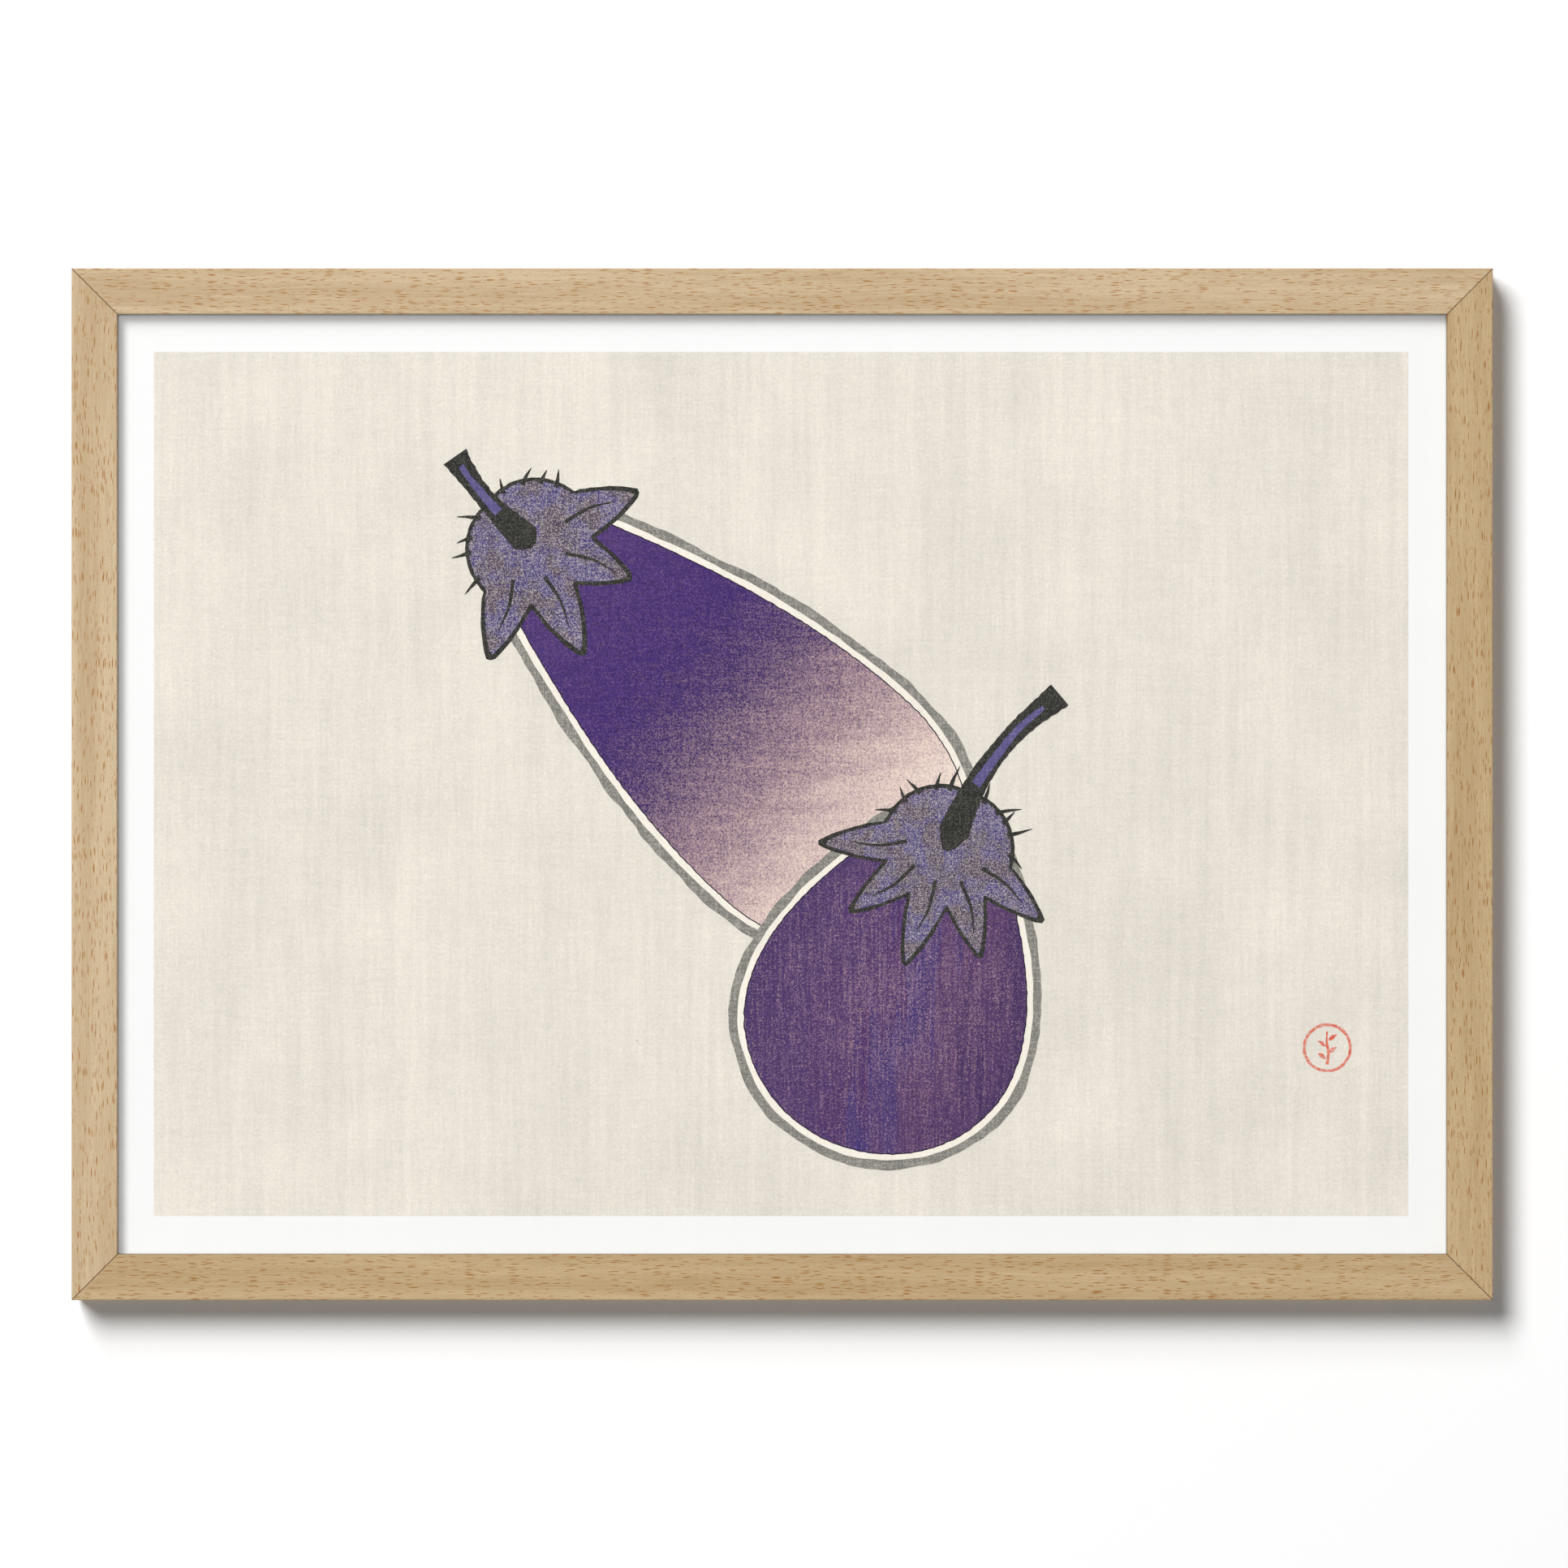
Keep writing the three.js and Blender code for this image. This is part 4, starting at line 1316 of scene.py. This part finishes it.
class FRAMEDPRINT_OT_hangers(bpy.types.Operator):
    """Make the rings, their folded straps and their screws"""

    bl_idname = "framed_print.hangers"
    bl_label = "Hangers"

    def execute(self, context):
        look = settings().hardware
        nickel = steel("nickel", look.nickel, 0.16, 0.3, (0.5, 2.0, 2.0))
        plated = steel("screw_zinc", look.zinc, 0.22, 0.38, (0.9, 0.9, 0.9))
        for side in SIDES:
            low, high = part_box(f"{side}_d_ring")
            pivot = Vector(((low.x + high.x) / 2, (low.y + high.y) / 2, low.z + look.wire / 2))
            ring = self.ring(side, pivot, high, look, nickel)
            finish_piece(ring, f"{side}_ring", "nickel_steel", f"{side}_d_ring")
            strap = self.strap(side, pivot, look, nickel)
            finish_piece(strap, "frame", "nickel_steel", f"{side}_hanger_strap")
            finish_piece(self.screw(side, plated), "frame", "zinc_steel", f"{side}_hanger_screw")
        return {"FINISHED"}

    def ring(self, side, pivot, high, look, material):
        """Wire bent to a D, with its straight run through the strap."""
        radius = look.wire / 2
        half = high.x - pivot.x - radius
        rise = high.z - radius - half - pivot.z
        corner = min(RING_CORNER, rise)
        path = [(half - corner, 0.0)]
        path += arc((half - corner, corner), corner, -90, 0, 8)[1:]
        path += arc((0, rise), half, 0, 180, 48)
        path += arc((-half + corner, corner), corner, 180, 270, 8)
        path += [(x * half, 0.0) for x in (-0.5, -0.06, -0.02, 0.0, 0.02, 0.06, 0.5)]
        bm = bmesh.new()
        rings = []
        for i, (x, z) in enumerate(path):
            before, after = Vector(path[i - 1]), Vector(path[(i + 1) % len(path)])
            along = (after - before).normalized()
            out = Vector((along.y, 0, -along.x))
            seam = SEAM if x == 0.0 and z == 0.0 else 1.0
            row = []
            for k in range(WIRE_SIDES):
                turn = 2 * math.pi * k / WIRE_SIDES
                round_wire = out * math.cos(turn) + Vector((0, 1, 0)) * math.sin(turn)
                row.append(bm.verts.new(pivot + Vector((x, 0, z)) + radius * seam * round_wire))
            rings.append(row)
        for i, row in enumerate(rings):
            bridge(bm, row, rings[(i + 1) % len(rings)])
        bmesh.ops.recalc_face_normals(bm, faces=bm.faces)
        return mesh_object(f"{side}_bent_ring", bm, material, 40)

    def strap(self, side, pivot, look, material):
        """A strip folded round the ring's wire, its two layers flat against the wood."""
        low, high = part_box(f"{side}_hanger_strap")
        thick = look.strap
        loop = (high.y - low.y - thick) / 2
        foot, half = low.z, (high.x - low.x) / 2
        back, front = low.y + thick / 2, low.y + thick * 1.5
        middle = Vector((low.y + thick / 2 + loop, pivot.z))
        rows = 14
        end = STRAP_END
        run = [foot + end * (1 - math.cos(math.pi / 2 * k / rows)) for k in range(rows + 1)]
        line = [(back, z) for z in run] + [(back, foot + (pivot.z - foot) * k / 6) for k in range(2, 6)]
        line += [(middle.x + y, middle.y + z) for y, z in arc((0, 0), loop, 180, -38, 30)]
        last = Vector(line[-1])
        for k in range(1, 9):
            t = k / 8
            ease = t * t * (3 - 2 * t)
            line.append((last.x + (front - last.x) * ease, last.y - STRAP_SETTLE * t))
        settled = last.y - STRAP_SETTLE
        to_end = foot + end - last.y + STRAP_SETTLE
        line += [(front, settled + to_end * k / 5) for k in range(1, 5)]
        line += [(front, z) for z in reversed(run)]
        bm = bmesh.new()
        loops = []
        for i, (y, z) in enumerate(line):
            before, after = Vector(line[max(i - 1, 0)]), Vector(line[min(i + 1, len(line) - 1)])
            along = (after - before).normalized()
            across = Vector((0, along.y, -along.x)) * (thick / 2 - STRAP_FLAT)
            tail = max(0.0, min(end, foot + end - z))
            width = half - end + math.sqrt(max(0.0, end**2 - tail**2))
            at = Vector((pivot.x, y, z))
            wide = Vector((width, 0, 0))
            corners = (at - wide - across, at + wide - across, at + wide + across, at - wide + across)
            loops.append([bm.verts.new(corner) for corner in corners])
        for one, two in zip(loops, loops[1:]):
            bridge(bm, one, two)
        bm.faces.new(loops[0][::-1])
        bm.faces.new(loops[-1])
        bmesh.ops.recalc_face_normals(bm, faces=bm.faces)
        obj = mesh_object(f"{side}_folded_strap", bm, material)
        soft_edges = obj.modifiers.new("soft_edges", "BEVEL")
        soft_edges.width = 0.12 * MM
        soft_edges.segments = 2
        soft_edges.angle_limit = math.radians(60)
        apply_modifiers(obj)
        smooth(obj.data, 50)
        return obj

    def screw(self, side, material):
        """A pan-head screw with a tapered cross recess, its point buried in the wood."""
        low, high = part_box(f"{side}_hanger_screw")
        place = Vector(((low.x + high.x) / 2, 0, (low.z + high.z) / 2))
        head = (high.x - low.x) / 2
        seat = high.y - HEAD_HEIGHT
        profile = [(0.0, low.y), (SCREW_ROOT, low.y + SCREW_POINT), (SCREW_SHANK, seat)]
        profile += [(head * 0.96, seat), (head, seat + 0.12 * MM)]
        profile += arc((head - HEAD_EDGE, seat + 0.75 * MM), HEAD_EDGE, 0, 50, 2)
        crown, shoulder = head - 0.55 * MM, 1.1 * MM
        for degrees in range(10, 90, 10):
            turn = math.radians(degrees)
            rise = shoulder + (HEAD_HEIGHT - shoulder) * math.sin(turn)
            profile.append((crown * math.cos(turn), seat + rise))
        profile += [(0.0, high.y)]
        obj = turned(f"{side}_pan_screw", profile, place, material, 48)
        cut = bmesh.new()
        for turn in (0, 90):
            arm = bmesh.ops.create_cube(cut, size=1.0)["verts"]
            for v in arm:
                span, level, width = RECESS_FLOOR if v.co.y < 0 else RECESS_MOUTH
                v.co = Vector((v.co.x * span, level, v.co.z * width)) * MM
            for degrees in (turn, RECESS_TURN):
                about_y = Matrix.Rotation(math.radians(degrees), 3, "Y")
                bmesh.ops.rotate(cut, verts=arm, cent=(0, 0, 0), matrix=about_y)
        cut.transform(Matrix.Translation((place.x, high.y, place.z)))
        bmesh.ops.recalc_face_normals(cut, faces=cut.faces)
        recess = mesh_object(f"{side}_recess", cut)
        cross = obj.modifiers.new("cross", "BOOLEAN")
        cross.operation = "DIFFERENCE"
        cross.solver = "EXACT"
        cross.use_self = True
        cross.object = recess
        apply_modifiers(obj)
        bpy.data.objects.remove(recess)
        smooth(obj.data, 35)
        return obj


BUMPER_SKIRT = 0.14  # the height of a bumper's straight side, as a share
BUMPER_ROWS = 17


class FRAMEDPRINT_OT_bumpers(bpy.types.Operator):
    """Make the soft bumpers that keep the frame off the wall"""

    bl_idname = "framed_print.bumpers"
    bl_label = "Bumpers"

    def execute(self, context):
        clear = soft_bumper("soft_bumper", settings().hardware.bumper)
        for side in SIDES:
            low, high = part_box(f"{side}_bumper")
            radius, tall = (high.x - low.x) / 2, high.y - low.y
            profile = [(0.0, low.y), (radius * 0.97, low.y), (radius, low.y + 0.1 * MM)]
            profile.append((radius, low.y + tall * BUMPER_SKIRT))
            for k in range(1, BUMPER_ROWS):
                turn = math.radians(90 * k / BUMPER_ROWS)
                rise = BUMPER_SKIRT + (1 - BUMPER_SKIRT) * math.sin(turn) ** 1.15
                profile.append((radius * math.cos(turn) ** 0.75, low.y + tall * rise))
            profile.append((0.0, high.y))
            place = Vector(((low.x + high.x) / 2, 0, (low.z + high.z) / 2))
            obj = turned(f"{side}_dome_bumper", profile, place, clear, 64)
            finish_piece(obj, "frame", "bumper_rubber", f"{side}_bumper")
        return {"FINISHED"}


class FRAMEDPRINT_PT_panel(bpy.types.Panel):
    """Buttons for each part of the framed print"""

    bl_idname = "FRAMEDPRINT_PT_panel"
    bl_label = "Framed print"
    bl_space_type = "VIEW_3D"
    bl_region_type = "UI"
    bl_category = "Framed print"

    def draw(self, context):
        layout = self.layout
        for operator in OPERATORS:
            layout.operator(operator.bl_idname)
        held = context.scene.framed_print
        for group in (held.wood, held.sheet, held.still_life, held.hardware, held.stage):
            box = layout.box()
            for key in group.bl_rna.properties.keys():
                if key not in ("rna_type", "name"):
                    box.prop(group, key)


OPERATORS = (
    FRAMEDPRINT_OT_stage,
    FRAMEDPRINT_OT_rails,
    FRAMEDPRINT_OT_glazing,
    FRAMEDPRINT_OT_sheet,
    FRAMEDPRINT_OT_inks,
    FRAMEDPRINT_OT_backing,
    FRAMEDPRINT_OT_fasteners,
    FRAMEDPRINT_OT_hangers,
    FRAMEDPRINT_OT_bumpers,
)
CLASSES = (
    WoodLook,
    PrintLook,
    StillLifeSizes,
    HardwareLook,
    StageLook,
    FramedPrintSettings,
    *OPERATORS,
    FRAMEDPRINT_PT_panel,
)


def register():
    for cls in CLASSES:
        bpy.utils.register_class(cls)
    bpy.types.Scene.framed_print = PointerProperty(type=FramedPrintSettings)


def unregister():
    del bpy.types.Scene.framed_print
    for cls in reversed(CLASSES):
        bpy.utils.unregister_class(cls)


def main():
    register()
    for operator in OPERATORS:
        group, name = operator.bl_idname.split(".")
        getattr(getattr(bpy.ops, group), name)()


if __name__ == "__main__":
    main()
